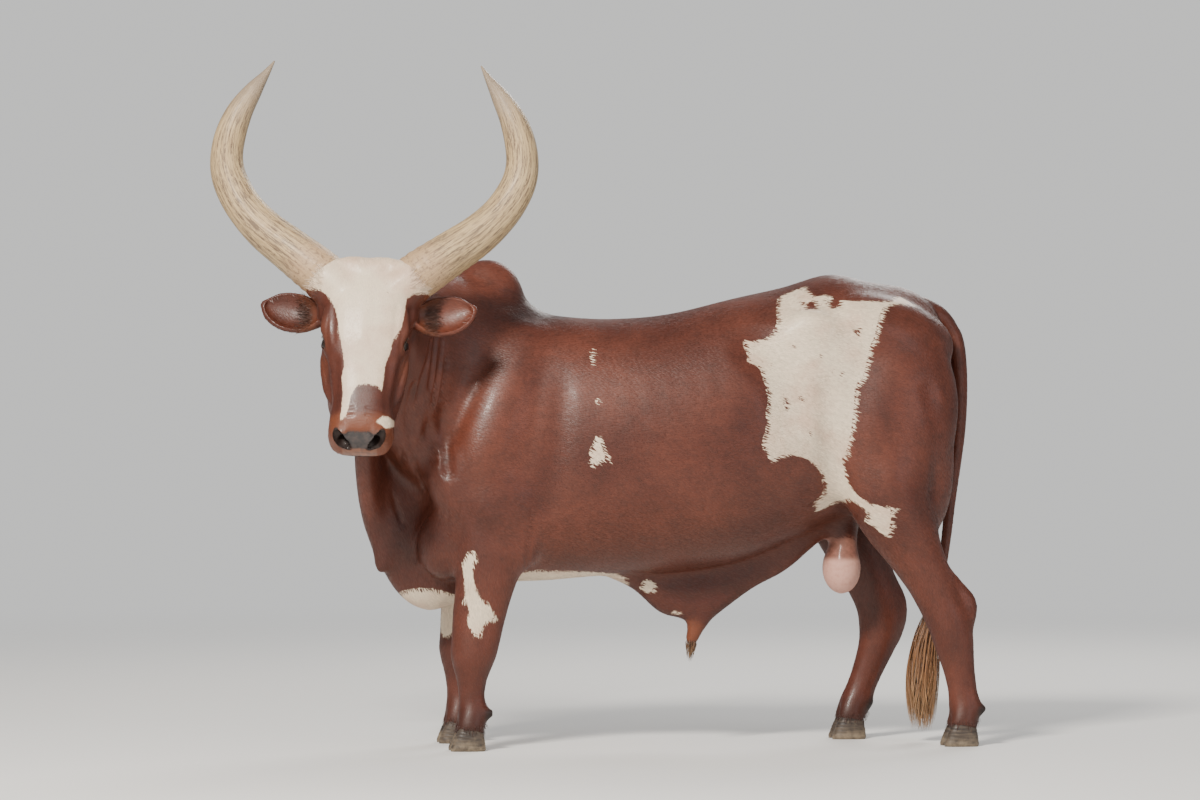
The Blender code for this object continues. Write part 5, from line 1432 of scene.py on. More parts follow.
facing_out(skin)
clean_up(skin)
skin.data.shade_smooth()
unwrapped(skin)
SKIN_POINTS = coordinates(skin)
SKIN_NORMALS = outward(skin)
corners = np.empty(len(skin.data.loops), int)
skin.data.loops.foreach_get("vertex_index", corners)
SKIN_FACES = corners.reshape(-1, 3)
chart = np.empty(len(skin.data.loops) * 2)
skin.data.uv_layers["OFBake"].data.foreach_get("uv", chart)
SKIN_MAP = chart.reshape(-1, 3, 2)
SKIN_TREE = BVHTree.FromPolygons(SKIN_POINTS.tolist(), SKIN_FACES.tolist(), all_triangles=True)
print("skin mapped,", len(SKIN_FACES), "triangles")

# %% The way the hair lies
def unit(rows):
    """Each row scaled to length one."""
    return rows / np.maximum(np.linalg.norm(rows, axis=1), 1e-9)[:, None]


def hair_way(points, normals):
    """The direction in which hair lies along the surface at each point."""
    x, y, z = points.T
    way = np.tile((1.0, 0.0, -0.42), (len(points), 1))
    for share, direction in (
        (between(x, 0.84, 0.98), (0.45, 0, -1.0)),
        (between(-normals[:, 2], 0.3, 0.8), (1.0, 0, 0.05)),
        (between(-x, 0.40, 0.58), (0.55, 0.35, -0.85)),
        (between(-z, -0.66, -0.50) * (np.abs(y) > 0.07), (0.18, 0, -1.0)),
        (between(x, 1.060, 1.075) * (z < 1.26), (0.0, 0, -1.0)),
    ):
        way += share[:, None] * (np.array(direction) - way)
    local = in_head_frame(points)
    facing = normals @ HEAD_TURN
    hx, side = local[:, 0], np.sign(local[:, 1])
    down_face = between(hx, 0.21, 0.27)
    fanned = 0.9 * local[:, 1] / 0.1 * (1 - np.abs(2 * down_face - 1))
    face = np.column_stack([2 * down_face - 1, fanned, np.zeros(len(hx))])
    cheek = between(-facing[:, 2], -0.55, -0.15)
    face += cheek[:, None] * (np.array((-0.35, 0, -1.0)) - face)
    ear = between(np.abs(local[:, 1]), 0.140, 0.160) * (hx > 0.05)
    face += ear[:, None] * (np.column_stack([np.full(len(hx), -0.10), side, np.zeros(len(hx))]) - face)
    way = np.where(on_head(points)[:, None], into_body(face), way)
    swirl = 0.16 * np.sin(7 * x + 3 * z) * np.cos(9 * z - 4 * y) + chance.normal(0, 0.09, len(points))
    way = unit(way - normals * np.einsum("ij,ij->i", way, normals)[:, None])
    return unit(way + swirl[:, None] * np.cross(normals, way))


def hair_length(points, normals):
    """Length of the hair at each point: short on the face and feet, longer on crest, poll and brisket."""
    x, y, z = points.T
    length = np.full(len(points), 0.022)
    length += 0.006 * near(points, (-0.35, 0, 1.45), 0.20) + 0.004 * between(-normals[:, 2], 0.2, 0.8)
    length = np.where(z < 0.62, 0.011 + 0.011 * between(z, 0.16, 0.62), length)
    length = np.where(z < 0.13, 0.008, length)
    local = in_head_frame(points)
    face = 0.0085 + 0.010 * between(-local[:, 0], -0.06, 0.0) - 0.003 * between(local[:, 0], 0.44, 0.52)
    local[:, 1] = np.abs(local[:, 1])
    nostril_line = [row[:3] for row in NOSTRIL]
    gap = np.minimum(distance_to_route(local, MOUTH), distance_to_route(local, nostril_line) - 0.010)
    gap = np.minimum(gap, np.linalg.norm(local - (EYE_FROM_POLL, 0.104, -0.056), axis=1) - EYE_RADIUS - 0.004)
    return np.where(on_head(points), face * (0.35 + 0.65 * between(gap, 0.004, 0.022)), length)


# %% Tufts
def roots_on(faces, count, density):
    """Places spread evenly over some faces of the skin, with their normals and their spot on its map."""
    a, b, c = (SKIN_POINTS[SKIN_FACES[faces, i]] for i in range(3))
    weight = np.linalg.norm(np.cross(b - a, c - a), axis=1) * density
    total = np.cumsum(weight)
    spots = (np.arange(count) + chance.random(count)) / count * total[-1]
    found = faces[np.minimum(np.searchsorted(total, spots), len(faces) - 1)]
    u, v = chance.random((2, count))
    over = u + v > 1
    u, v = np.where(over, 1 - u, u), np.where(over, 1 - v, v)
    share = np.column_stack([1 - u - v, u, v])
    places = np.einsum("ij,ijk->ik", share, SKIN_POINTS[SKIN_FACES[found]])
    normals = unit(np.einsum("ij,ijk->ik", share, SKIN_NORMALS[SKIN_FACES[found]]))
    return places, normals, np.einsum("ij,ijk->ik", share, SKIN_MAP[found])


def mesh_piece(name, points, faces, spots, finish):
    """A mesh of triangles from arrays, with a map named OFBake."""
    mesh = bpy.data.meshes.new(name)
    mesh.vertices.add(len(points))
    mesh.vertices.foreach_set("co", points.astype(np.float32).ravel())
    mesh.loops.add(faces.size)
    mesh.loops.foreach_set("vertex_index", faces.astype(np.int32).ravel())
    mesh.polygons.add(len(faces))
    mesh.polygons.foreach_set("loop_start", (np.arange(len(faces)) * 3).astype(np.int32))
    mesh.uv_layers.new(name="OFBake").data.foreach_set("uv", spots[faces.ravel()].astype(np.float32).ravel())
    mesh.update(calc_edges=True)
    mesh.shade_smooth()
    mesh.materials.append(finish)
    return linked(name, mesh)


SPINDLE = np.array([(0, 2, 3), (0, 3, 1), (0, 1, 2), (4, 3, 2), (4, 1, 3), (4, 2, 1)])
PATCH_SIDE, ROOT_DEPTH = 0.003, 0.0008
SPINDLE_PATCH = np.array([(-0.5, 0.0), (0.0, 0.5), (0.0, -0.5), (0.0, 0.05), (0.5, 0.0)]) * PATCH_SIDE


def tufts(name, faces, count, density):
    """One piece of coat: closed spindles rooted all over some faces of the skin."""
    places, normals, spots = roots_on(faces, count, density)
    way = hair_way(places, normals)
    length = hair_length(places, normals) * chance.uniform(0.75, 1.2, count)
    width = (0.0004 + 0.135 * length) * chance.uniform(0.8, 1.25, count)
    hits = [SKIN_TREE.find_nearest(tip) for tip in (places + way * length[:, None]).tolist()]
    ground = np.array([hit[0] for hit in hits])
    upward = np.array([hit[1] for hit in hits])
    middle_normal = unit(normals + upward)
    landing = unit(way - upward * np.einsum("ij,ij->i", way, upward)[:, None])
    middle = 0.5 * (places + ground) + (way - landing) * (length / 8)[:, None]
    across = np.cross(middle_normal, way) * (width / 2)[:, None]
    lift = (0.0003 + 0.018 * length * chance.uniform(0.4, 1.6, count))[:, None]
    corners = np.stack([
        places - normals * ROOT_DEPTH,
        middle + middle_normal * lift * 0.25 + across,
        middle + middle_normal * lift * 0.25 - across,
        middle + middle_normal * (lift * 0.55 + 0.0003),
        ground + upward * lift,
    ], axis=1).reshape(-1, 3)
    faces = (SPINDLE[None] + 5 * np.arange(count)[:, None, None]).reshape(-1, 3)
    patches = (spots[:, None] + SPINDLE_PATCH[None]).reshape(-1, 2)
    made = mesh_piece(name, corners, faces, patches, short_coat)
    sideways = np.cross(middle_normal, way) * 0.22
    soft = np.stack([normals, middle_normal + sideways, middle_normal - sideways, middle_normal,
                     upward + 0.10 * way], axis=1).reshape(-1, 3)
    made.data.normals_split_custom_set_from_vertices(unit(soft).tolist())
    marks = markings(places, normals)
    values = {key: np.repeat(marks[key], 5) for key in ("white", "warm_and_sheen", "dark_and_shade")}
    values["shade"] = np.repeat(chance.uniform(0.86, 1.16, count), 5)
    add_attributes(made, values)
    return made


print("tuft tools ready")

# %% Coat, region by region
middles = SKIN_POINTS[SKIN_FACES].mean(axis=1)
face_normals = unit(SKIN_NORMALS[SKIN_FACES].mean(axis=1))
hide_marks = markings(middles, face_normals)
inside_head = in_head_frame(middles)
in_horn = np.hypot(inside_head[:, 0] - 0.034, inside_head[:, 2] + 0.066) < 0.066
in_horn &= np.abs(inside_head[:, 1]) > 0.150
in_hoof = middles[:, 2] < 0.040
in_mouth = (inside_head[:, 2] > -0.130) & (inside_head[:, 2] < -0.090) & (inside_head[:, 0] > 0.44)
in_mouth &= np.abs(face_normals @ HEAD_TURN[:, 2]) > 0.75
in_mouth &= np.abs(inside_head[:, 1]) < 0.10
haired = (hide_marks["bare"] < 0.5) & ~in_horn & ~in_hoof & ~in_mouth
headed = on_head(middles)
x, y, z = middles.T
legs = (z < 0.56) & (np.abs(y) > 0.085)
COAT_REGIONS = {
    "coat_poll": (headed & (inside_head[:, 0] < 0.21), 24000),
    "coat_face": (headed & (inside_head[:, 0] >= 0.21), 27000),
    "coat_neck": (~headed & ~legs & (x < -0.42), 28000),
    "coat_forelegs": (~headed & legs & (x < 0.2), 24000),
    "coat_hindlegs": (~headed & legs & (x >= 0.2), 26000),
    "coat_shoulders": (~headed & ~legs & (x >= -0.42) & (x < 0.02), 24000),
    "coat_barrel": (~headed & ~legs & (x >= 0.02) & (x < 0.42), 24000),
    "coat_loins": (~headed & ~legs & (x >= 0.42) & (x < 0.76), 24000),
    "coat_rump": (~headed & ~legs & (x >= 0.76), 26000),
}
coat_pieces = []
for name, (region, count) in COAT_REGIONS.items():
    density = 1 + 0.6 * (inside_head[region & haired, 0] > 0.40) * headed[region & haired]
    coat_pieces.append(tufts(name, np.flatnonzero(region & haired), count, density))
print("tufts:", sum(count for region, count in COAT_REGIONS.values()), "in", len(coat_pieces), "pieces")

# %% [markdown]
# ## Long hair
#
# The switch of the tail, the tuft at the sheath, the lashes and the fringes round horns and hooves are
# longer than the coat and need a path each. A lock is a thin strip of four corners to a section, drawn
# to a point at its tip. Hundreds of locks of different length, with finer hairs among them, read as a
# brush of hair, where a few thick ones would read as straps.

# %% Locks along paths
def locks(name, paths, facing, widths, finish, values, flatness=0.45):
    """Long hairs as one mesh. Each path runs from root to tip and shows its flat side to facing."""
    count, steps = paths.shape[:2]
    tangents = np.gradient(paths, axis=1)
    tangents /= np.maximum(np.linalg.norm(tangents, axis=2), 1e-9)[:, :, None]
    across = np.cross(np.broadcast_to(facing[:, None], paths.shape), tangents)
    across /= np.maximum(np.linalg.norm(across, axis=2), 1e-9)[:, :, None]
    over = np.cross(tangents, across)
    t = np.linspace(0, 1, steps)
    profile = (0.55 + 0.45 * np.minimum(1, t / 0.3)) * (1 - np.clip((t - 0.4) / 0.6, 0, 1) ** 1.7)
    half = (widths[:, None] * profile[None] / 2)[:, :-1, None]
    body = paths[:, :-1]
    rings = [body + across[:, :-1] * half, body + over[:, :-1] * half * flatness,
             body - across[:, :-1] * half, body - over[:, :-1] * half * flatness]
    rings = np.stack(rings, axis=2).reshape(count, -1, 3)
    points = np.concatenate([rings, paths[:, -1:]], axis=1)
    faces = [(0, 3, 2), (0, 2, 1)]
    for r in range(steps - 2):
        for i in range(4):
            a, b = 4 * r + i, 4 * r + (i + 1) % 4
            faces += [(a, b, b + 4), (a, b + 4, a + 4)]
    tip = 4 * (steps - 1)
    faces += [(tip - 4 + i, tip - 4 + (i + 1) % 4, tip) for i in range(4)]
    each = points.shape[1]
    all_faces = (np.array(faces)[None] + each * np.arange(count)[:, None, None]).reshape(-1, 3)
    along = np.append(np.repeat(t[:-1], 4), 1.0)
    sides = np.append(np.tile((-0.5, 0.0, 0.5, 0.0), steps - 1), 0.0)
    roots = [SKIN_TREE.find_nearest(root)[2] for root in paths[:, 0].tolist()]
    spots = SKIN_MAP[roots].mean(axis=1)
    patches = spots[:, None] + (np.column_stack([along - 0.5, sides]) * 0.003)[None]
    made = mesh_piece(name, points.reshape(-1, 3), all_faces, patches.reshape(-1, 2), finish)
    layers = {key: np.repeat(value, each) for key, value in values.items()}
    layers["along"] = np.tile(along, count)
    add_attributes(made, layers)
    return made


def combed(places, normals, way, length, lift, droop, steps=5):
    """Paths of hairs that leave the skin along way, rise by lift and then hang by droop."""
    t = np.linspace(0, 1, steps)[None, :, None]
    length = np.asarray(length)[:, None, None]
    path = places[:, None] - normals[:, None] * 0.001 + way[:, None] * length * t
    path = path + normals[:, None] * length * lift * t * (1 - 0.4 * t)
    return path - np.array((0, 0, 1.0)) * length * droop * t**2


# %% Switch of the tail and tuft of the sheath
SWITCH_LINE = [  # x, y, z, half depth and half width of the brush
    (1.034, 0, 0.465, 0.018, 0.018), (1.018, 0, 0.400, 0.026, 0.025), (1.000, 0, 0.320, 0.039, 0.034),
    (0.990, 0, 0.240, 0.049, 0.041), (0.985, 0, 0.165, 0.050, 0.042), (0.984, 0, 0.095, 0.044, 0.037),
    (0.985, 0, 0.028, 0.028, 0.023),
]
TUFT_LINE = [
    (0.2790, 0, 0.328, 0.021, 0.019), (0.2780, 0, 0.305, 0.020, 0.018), (0.2750, 0, 0.285, 0.015, 0.014),
    (0.2720, 0, 0.246, 0.008, 0.007),
]


def brush(line, count, steps, latest_root, wave):
    """Paths of hairs that fill a brush, whose line gives its middle and its half sizes."""
    line = spline(line, 12)
    stops = np.arange(len(line)) / (len(line) - 1)
    t = np.linspace(0, 1, steps)[None]
    first = (latest_root * chance.random(count) ** 1.3)[:, None]
    last = chance.uniform(0.74, 1.0, count)[:, None]
    at = first + (last - first) * t
    centre = np.stack([np.interp(at, stops, line[:, k]) for k in range(5)], axis=2)
    bearing = chance.uniform(0, 2 * math.pi, count)[:, None] + chance.uniform(-0.8, 0.8, count)[:, None] * t
    reach = np.sqrt(chance.uniform(0.05, 1, count))[:, None] * (0.45 + 0.55 * between(t, 0.0, 0.35))
    phase = chance.uniform(0, 2 * math.pi, count)[:, None]
    curl = wave * t * np.sin(phase + 2 * math.pi * 1.7 * at)
    x = centre[:, :, 0] + centre[:, :, 3] * reach * np.cos(bearing) + curl * np.sin(bearing)
    y = centre[:, :, 1] + centre[:, :, 4] * reach * np.sin(bearing) - curl * np.cos(bearing)
    middle = bearing.mean(axis=1)
    facing = np.column_stack([np.cos(middle), np.sin(middle), np.zeros(count)])
    return np.stack([x, y, centre[:, :, 2]], axis=2), facing


def shades(count, low, high):
    """A brightness for each hair."""
    return {"shade": chance.uniform(low, high, count)}


def long_locks(name, line, count, steps, latest_root, wave, widths, brightness):
    """A brush of long hair as one piece. Widths and brightness are each a least and a greatest."""
    paths, facing = brush(line, count, steps, latest_root, wave)
    widths = chance.uniform(*widths, count)
    return locks(name, paths, facing, widths, long_hair, shades(count, *brightness))


SWITCH_LOCKS, SWITCH_HAIRS, SHEATH_HAIRS = 420, 520, 130
switch = long_locks("switch", SWITCH_LINE, SWITCH_LOCKS, 15, 0.50, 0.008, (0.0030, 0.0065), (0.65, 1.25))
switch_hairs = long_locks(
    "switch_hairs", SWITCH_LINE, SWITCH_HAIRS, 12, 0.55, 0.014, (0.0008, 0.0016), (0.6, 1.4))
tuft = long_locks("tuft", TUFT_LINE, SHEATH_HAIRS, 7, 0.45, 0.003, (0.0010, 0.0030), (0.25, 0.8))
print("long hair:", SWITCH_LOCKS + SWITCH_HAIRS + SHEATH_HAIRS, "locks and hairs")

# %% Fringes, ear hair and lashes
def marked(places, normals):
    """The markings and a brightness for hairs rooted at some places."""
    marks = markings(places, normals)
    values = {key: marks[key] for key in ("white", "warm_and_sheen", "dark_and_shade")}
    values["shade"] = chance.uniform(0.8, 1.2, len(places))
    return values


def fringe(name, faces, count, combed_way, lengths, widths, lift, droop):
    """One piece of short hairs rooted on some faces. Lengths and widths are each a least and a greatest."""
    places, normals, _ = roots_on(faces, count, np.ones(len(faces)))
    way = unit(combed_way(places, normals))
    paths = combed(places, normals, way, chance.uniform(*lengths, count), lift, droop)
    widths = chance.uniform(*widths, count)
    return locks(name, paths, normals, widths, short_coat, marked(places, normals))


def up_the_horn(places, normals):
    """Out and up along the horn, close to the skin."""
    outside = np.sign(in_head_frame(places)[:, 1])
    way = into_body(np.column_stack([np.full(len(outside), -0.55), 0.80 * outside, np.zeros(len(outside))]))
    level = way - 0.9 * normals * np.einsum("ij,ij->i", way, normals)[:, None]
    return level + chance.normal(0, 0.12, way.shape)


def out_of_the_ear(places, normals):
    """As the coat lies, but in disorder."""
    return hair_way(places, normals) + chance.normal(0, 0.22, places.shape)


def over_the_hoof(places, normals):
    """Down and a little out."""
    return np.array((0.0, 0.0, -1.0)) + 0.25 * normals + chance.normal(0, 0.12, places.shape)


HORN_HAIRS, EAR_HAIRS, HOOF_HAIRS = 1500, 1600, 1500
aside = np.abs(inside_head[:, 1])
round_horn = np.hypot(inside_head[:, 0] - 0.040, inside_head[:, 2] + 0.066)
seat = np.flatnonzero(haired & (aside > 0.118) & (aside < 0.156) & (round_horn < 0.088))
horn_fringe = fringe(
    "horn_fringe", seat, HORN_HAIRS, up_the_horn, (0.012, 0.026), (0.0012, 0.0026), 0.16, 0.02)
cups = np.flatnonzero(headed & (hide_marks["bare"] > 0.4) & (aside > 0.15))
ear_hair = fringe("ear_hair", cups, EAR_HAIRS, out_of_the_ear, (0.010, 0.030), (0.0005, 0.0012), 0.22, 0.08)
band = np.flatnonzero((z > 0.036) & (z < 0.085))
coronet_fringe = fringe(
    "coronet_fringe", band, HOOF_HAIRS, over_the_hoof, (0.010, 0.022), (0.0010, 0.0022), 0.16, 0.0)
print("fringes:", HORN_HAIRS + EAR_HAIRS + HOOF_HAIRS, "hairs")

# %% Lashes
LASHES_PER_EYE, LASH_WIDTH = 46, 0.0006
lash_roots, lash_ways = [], []
for side in (-1, 1):
    centre, gaze, along, up = eye_frame(side)
    for turn in np.linspace(-58, 58, LASHES_PER_EYE):
        turned = math.radians(turn)
        rise = math.radians(UPPER_LID_LIFT - 7) * math.cos(turned * 90 / 72) ** 0.8
        out = math.cos(rise) * (math.cos(turned) * gaze + math.sin(turned) * along) + math.sin(rise) * up
        lash_roots.append(centre + out * (EYE_RADIUS + 0.0035))
        lash_ways.append(out + 0.25 * math.sin(turned) * along - 0.10 * up)
lash_roots = into_body(lash_roots) + np.array(HEAD_PLACE.translation)
lash_ways = unit(into_body(lash_ways) + chance.normal(0, 0.08, lash_roots.shape))
count = len(lash_roots)
paths = combed(lash_roots, lash_ways, lash_ways, chance.uniform(0.009, 0.015, count), 0.1, 0.45, steps=6)
lashes = locks("lashes", paths, into_body([(0, 0, 1.0)] * count), np.full(count, LASH_WIDTH), long_hair,
               shades(count, 0.12, 0.3))
print("lashes:", len(lash_roots))

# %% [markdown]
# ## Horns
#
# A horn is a sheath of keratin that grows from its base, so its streaks run lengthwise and its growth
# rings run across, close together near the head. The loft follows the solid's own path with many more
# rings. Each point keeps how far along and how far round it is, and the streaks are noise in those two.

# %% Horns
def horn_rows():
    """The horn's line in the head's frame, root to tip: out, up and in again, with its radius."""
    spread, rise, base = HORN_HALF_SPREAD, HORN_RISE, HORN_BASE_RADIUS
    return [
        (0.074, 0.098, -0.069, base * 0.95), (0.032, 0.148, -0.066, base),
        (-0.031, 0.230, -0.064, base * 0.93), (-0.092, 0.308, -0.064, base * 0.85),
        (-0.152, 0.366, -0.062, base * 0.78), (-0.207, spread - 0.029, -0.056, base * 0.75),
        (-0.261, spread - 0.006, -0.046, base * 0.72), (-0.315, spread, -0.032, base * 0.68),
        (-0.375, spread - 0.010, -0.014, base * 0.64), (-0.438, spread - 0.034, 0.004, base * 0.54),
        (-0.498, spread - 0.070, 0.018, base * 0.38), (-0.549, spread - 0.105, 0.028, base * 0.17),
        (-rise, spread - 0.129, 0.034, base * 0.03),
    ]


HORN_SIDES, HORN_STEPS = 60, 16
horn_finish, tree, shader = material("horn", Specular_IOR_Level=0.5, Coat_Weight=0.12, Coat_Roughness=0.3)
along, round_x, round_y = mask(tree, "along"), mask(tree, "round_x"), mask(tree, "round_y")
lengthwise = node(tree, "CombineXYZ", {0: along, 1: round_x, 2: round_y}).outputs[0]
streaks = grain(tree, lengthwise, 6.0, detail=6.0, stretch=(1.6, 1.5, 1.5), roughness=0.62)
hairlines = grain(tree, lengthwise, 22.0, detail=4.0, stretch=(0.7, 2.2, 2.2))
mottle = grain(tree, lengthwise, 16.0, detail=5.0, stretch=(2.4, 1, 1), roughness=0.7)
colour = mixed(tree, ramp(tree, hairlines, 0.35, 0.7), (0.60, 0.44, 0.235, 1), (0.360, 0.230, 0.108, 1))
amount = times(tree, ramp(tree, along, 0.09, 0.15), ramp(tree, along, 0.72, 0.93, 1.0, 0.0))
dirt = times(tree, ramp(tree, streaks, 0.44, 0.58), ramp(tree, mottle, 0.40, 0.54))
dirt = times(tree, dirt, times(tree, amount, 0.9))
colour = mixed(tree, dirt, colour, (0.115, 0.072, 0.045, 1))
colour = mixed(tree, ramp(tree, hairlines, 0.62, 0.78, 0.0, 0.5), colour, (0.16, 0.10, 0.06, 1))
colour = mixed(tree, ramp(tree, along, 0.66, 0.90, 0.0, 0.72), colour, (0.235, 0.185, 0.150, 1))
base = plus(tree, along, times(tree, streaks, 0.03))
colour = mixed(tree, ramp(tree, base, 0.120, 0.185, 0.55, 0.0), colour, (0.42, 0.255, 0.150, 1))
grooves = ramp(tree, grain(tree, lengthwise, 30.0, stretch=(4.5, 0.3, 0.3)), 0.52, 0.66, 0.0, 0.6)
grooves = times(tree, grooves, ramp(tree, along, 0.12, 0.24, 1.0, 0.0))
colour = mixed(tree, grooves, colour, (0.135, 0.080, 0.048, 1))
feed(tree, shader, Base_Color=colour, Roughness=ramp(tree, along, 0.55, 0.95, 0.52, 0.34))
height = plus(tree, hairlines, times(tree, streaks, 0.8))
feed(tree, shader, Normal=bump(tree, height, 0.7, 0.0018))
print("horn mixed")

# %% Horn sheaths

horns = []
for side, word in ((1, "left"), (-1, "right")):
    rows = [(x, side * y, z, radius, radius) for x, y, z, radius in horn_rows()]
    made = limb_form("horn_sheath_" + word, rows, HEAD_PLACE, HORN_STEPS, HORN_SIDES, side_axis=(0, 0, 1))
    points = coordinates(made).reshape(-1, HORN_SIDES, 3)
    middle = points.mean(axis=1, keepdims=True)
    share = np.linspace(0, 1, len(points))[:, None]
    angle = np.arange(HORN_SIDES) * 2 * math.pi / HORN_SIDES
    rings = np.sin(2 * math.pi * 46 * share**1.1 + 0.6 * np.sin(angle * 3 + 9 * share))
    rings = rings * (1 - between(share, 0.10, 0.34))
    rings = 0.016 * rings * (0.6 + 0.4 * np.sin(31 * share + angle))
    flutes = 0.006 * np.sin(angle * 11 + 4 * share) * np.sin(7 * share + 2.1)
    flutes = flutes + 0.005 * np.sin(angle * 5 - 9 * share)
    wander = 0.010 * np.sin(angle * 2 + 14 * share) * (1 - share)
    swell = 1 + rings + flutes * (1 - between(share, 0.6, 0.95)) + wander
    set_coordinates(made, (middle + (points - middle) * swell[:, :, None]).reshape(-1, 3))
    add_attributes(made, {
        "along": np.repeat(share[:, 0], HORN_SIDES), "round_x": np.tile(np.cos(angle), len(points)) + side,
        "round_y": np.tile(np.sin(angle), len(points))})
    made.data.shade_smooth()
    made.data.materials.append(horn_finish)
    horns.append(made)
print("horns:", [len(made.data.polygons) for made in horns], "triangles")

# %% [markdown]
# ## Hooves and eyes
#
# A hoof wall grows down from the coronet and carries faint rings of its own. The eye is a plain ball in
# its socket; its brown iris and the level, oblong pupil of cattle are masks in the frame of its gaze.

# %% Hooves
def claw(x, y, inner):
    """One claw of a hoof: flat sole, sloping wall with growth rings, and a top that follows the coronet."""
    angles = np.arange(44) * 2 * math.pi / 44
    cosine, sine = np.cos(angles), np.sin(angles)
    rings = []
    for level in np.concatenate([[0.0, 0.04], np.linspace(0.1, 0.96, 22), [1.0]]):
        shrink = np.interp(level, (0, 0.10, 0.60, 1.0), (0.0035, 0.0, 0.001, 0.004))
        shrink = shrink - 0.0004 * math.sin(level * 44) * (0.1 < level < 0.9)
        toe = HOOF_LENGTH * 0.58 - 0.028 * level - shrink
        heel = HOOF_LENGTH * 0.42 - 0.004 * level - shrink
        wide = CLAW_WIDTH / 2 - 0.002 * level - shrink
        u = wide * np.sign(cosine) * np.abs(cosine) ** 0.8
        v = np.where(sine > 0, toe, heel) * np.sign(sine) * np.abs(sine) ** 0.85
        height = level * (coronet_height(-v) - 0.0003)
        rings.append(np.column_stack([x - v, y + inner * (0.0285 + 0.04 * v * v / 0.06) + u, height]))
    points, faces = stitch(rings)
    return facing_out(object_from("claw", points, faces))


hoof_finish, tree, shader = material("hoof", Specular_IOR_Level=0.4)
place = node(tree, "TexCoord").outputs["Object"]
rings_of_growth = grain(tree, place, 60.0, stretch=(0.25, 0.25, 2.6))
dust = grain(tree, place, 38.0, detail=5.0)
up = node(tree, "SeparateXYZ", {"Vector": place}).outputs[2]
pale_rings = ramp(tree, rings_of_growth, 0.35, 0.7)
colour = mixed(tree, pale_rings, (0.030, 0.022, 0.018, 1), (0.085, 0.062, 0.046, 1))
worn = plus(tree, ramp(tree, up, 0.0, 0.045, 0.75, 0.0), ramp(tree, dust, 0.5, 0.8, 0.0, 0.5))
worn = times(tree, worn, ramp(tree, dust, 0.3, 0.6))
colour = mixed(tree, worn, colour, (0.235, 0.180, 0.120, 1))
feed(tree, shader, Base_Color=colour, Roughness=ramp(tree, dust, 0.3, 0.7, 0.42, 0.7))
feed(tree, shader, Normal=bump(tree, rings_of_growth, 0.5, 0.001))
claws = []
for side, pair, word, x, y in feet():
    for inner in (-1, 1):
        claws.append(claw(x, y, inner))
hooves = joined("hooves", claws)
hooves.data.shade_smooth()
hooves.data.materials.append(hoof_finish)
print("hooves: 8 claws,", len(hooves.data.polygons), "triangles")

# %% Eyes
eye_finish, tree, shader = material(
    "eye", Roughness=0.25, Specular_IOR_Level=0.1, Coat_Weight=0.4, Coat_Roughness=0.03)
place = node(tree, "TexCoord").outputs["Object"]
iris = mixed(tree, grain(tree, place, 900.0), (0.006, 0.003, 0.002, 1), (0.016, 0.007, 0.004, 1))
colour = mixed(tree, mask(tree, "iris"), (0.07, 0.040, 0.030, 1), iris)
colour = mixed(tree, mask(tree, "rim"), colour, (0.006, 0.004, 0.003, 1))
colour = mixed(tree, mask(tree, "pupil"), colour, (0.003, 0.003, 0.004, 1))
feed(tree, shader, Base_Color=colour)
eyes = []
for side, word in ((1, "left"), (-1, "right")):
    centre, gaze, along, up = eye_frame(side)
    ball = ball_form("eyeball_" + word, (0, 0, 0), (1, 1, 1), segments=96)
    way = coordinates(ball)
    ahead, aside, above = way @ gaze, way @ along, way @ up
    tilt = np.degrees(np.arccos(np.clip(ahead, -1, 1)))
    cornea = 0.0006 * (1 - between(tilt, 20, 46))
    set_coordinates(ball, centre + way * (EYE_RADIUS + cornea)[:, None])
    ball.data.transform(HEAD_PLACE)
    add_attributes(ball, {
        "iris": 1 - between(tilt, 43, 47), "rim": between(tilt, 36, 42) * (1 - between(tilt, 43, 49)),
        "pupil": (1 - between(np.hypot(aside / 0.33, above / 0.17), 0.88, 1.06)) * (ahead > 0)})
    ball.data.shade_smooth()
    ball.data.materials.append(eye_finish)
    eyes.append(ball)
print("eyes at", [tuple(round(v, 3) for v in coordinates(ball).mean(axis=0)) for ball in eyes])

# %% [markdown]
# ## Put it together
#
# Every piece was made in the animal's own frame. Now each moves into the shared frame, rides on the one
# body of this still model, and takes the place of the solids that stood in for it.

# %% Place, ride and replace
skin.data.materials.clear()
skin.data.materials.append(hide)
pieces = [skin, switch, switch_hairs, tuft, horn_fringe, ear_hair, coronet_fringe, lashes, hooves]
pieces += coat_pieces + horns + eyes
for piece in pieces:
    piece.data.transform(Matrix.Translation(ORIGIN_SHIFT))
    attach(piece, "root")
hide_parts("torso", "neck", "head", "tail", "scrotum", "ear_left", "ear_right",
            "foreleg_left", "foreleg_right", "hindleg_left", "hindleg_right")
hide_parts("tail_switch")
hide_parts("sheath_tuft")
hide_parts("horn_left")
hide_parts("horn_right")
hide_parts("eye_left")
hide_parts("eye_right")
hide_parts(*[f"hoof_{pair}_{word}_{claw_word}" for pair in ("fore", "hind")
                      for word in ("left", "right") for claw_word in ("inner", "outer")])
print(len(pieces), "pieces,", sum(len(piece.data.polygons) for piece in pieces), "faces")

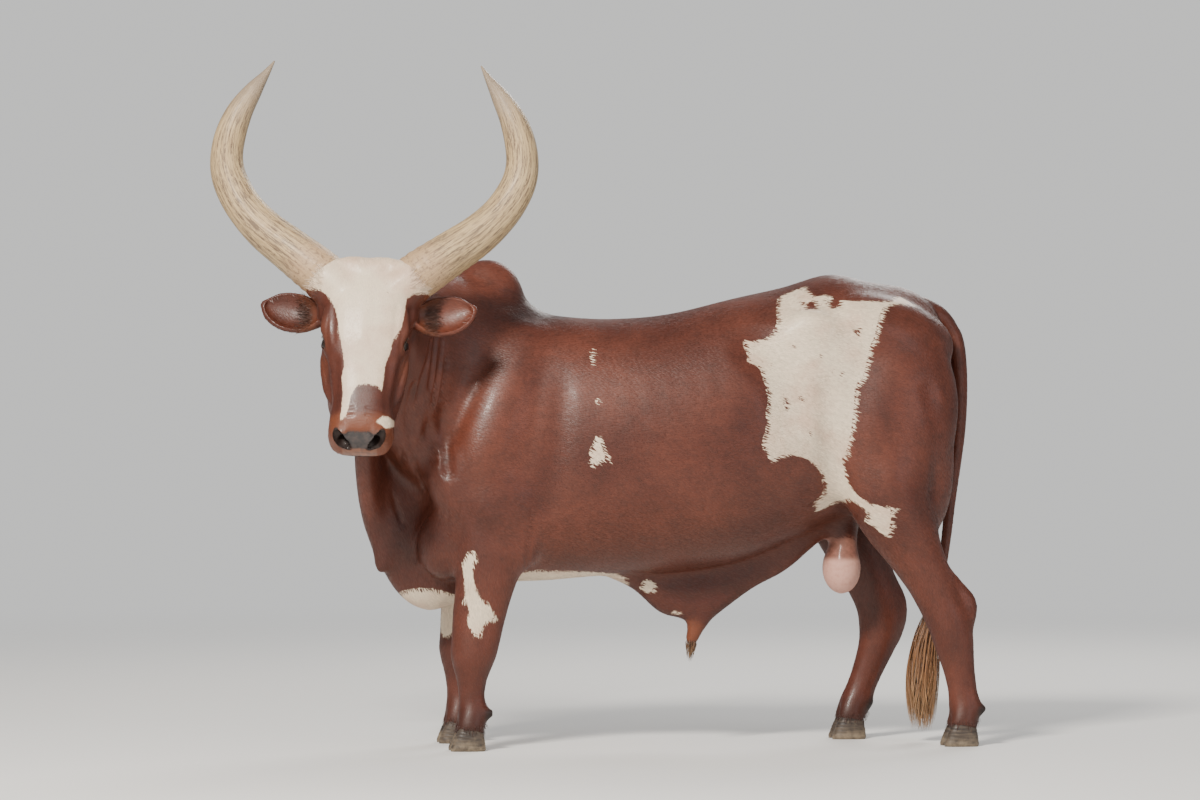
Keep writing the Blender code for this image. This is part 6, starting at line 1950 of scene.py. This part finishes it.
# %% [markdown]
# ## A plain studio
#
# A pale floor that fades into a pale backdrop keeps the eye on the animal. The key light stands high
# to the left, as the sun does in the photo, but is wide, so that shadows stay soft.

# %% Floor, lights and sky
FLOOR_REACH, FADE_FROM, FADE_TO = 14.0, 3.0, 10.0
floor_mesh = bpy.data.meshes.new("floor")
edge = [(sx * FLOOR_REACH, sy * FLOOR_REACH, 0) for sx, sy in ((-1, -1), (1, -1), (1, 1), (-1, 1))]
floor_mesh.from_pydata(edge, [], [(0, 1, 2, 3)])
floor = linked("floor", floor_mesh)
floor_finish, tree, shader = material("floor", Base_Color=(0.80, 0.79, 0.77, 1), Roughness=0.95)
place = node(tree, "TexCoord").outputs["Object"]
away = node(tree, "VectorMath", {0: place}, operation="LENGTH").outputs["Value"]
feed(tree, shader, Alpha=ramp(tree, away, FADE_FROM, FADE_TO, 1.0, 0.0))
floor_mesh.materials.append(floor_finish)


def area_light(name, place, aim, size, power, colour):
    """A square light at a place, turned to face aim."""
    data = bpy.data.lights.new(name, "AREA")
    data.size, data.energy, data.color = size, power, colour
    made = linked(name, data)
    made.location = place
    made.rotation_euler = (Vector(aim) - Vector(place)).to_track_quat("-Z", "Y").to_euler()


area_light("key", (-4.0, -7.0, 6.5), (0, 0, 0.9), 1.8, 1500, (1.0, 0.94, 0.86))
area_light("fill", (5.5, -7.5, 3.0), (0, 0, 0.9), 4.0, 120, (0.88, 0.93, 1.0))
area_light("rim", (3.5, 6.0, 5.5), (0, 0, 1.1), 3.0, 320, (1.0, 0.98, 0.95))
world = bpy.data.worlds.new("sky")
world.use_nodes = True
sky = world.node_tree
light = sky.nodes["Background"]
light.inputs["Color"].default_value = (0.84, 0.85, 0.86, 1)
light.inputs["Strength"].default_value = 0.50
behind = node(sky, "Background", {"Color": (0.80, 0.80, 0.79, 1), "Strength": 0.95}).outputs[0]
seen = node(sky, "LightPath").outputs["Is Camera Ray"]
both = node(sky, "MixShader", {0: seen, 1: light.outputs[0], 2: behind})
sky.links.new(both.outputs[0], sky.nodes["World Output"].inputs["Surface"])
bpy.context.scene.world = world
print("floor, three lights and a pale sky")
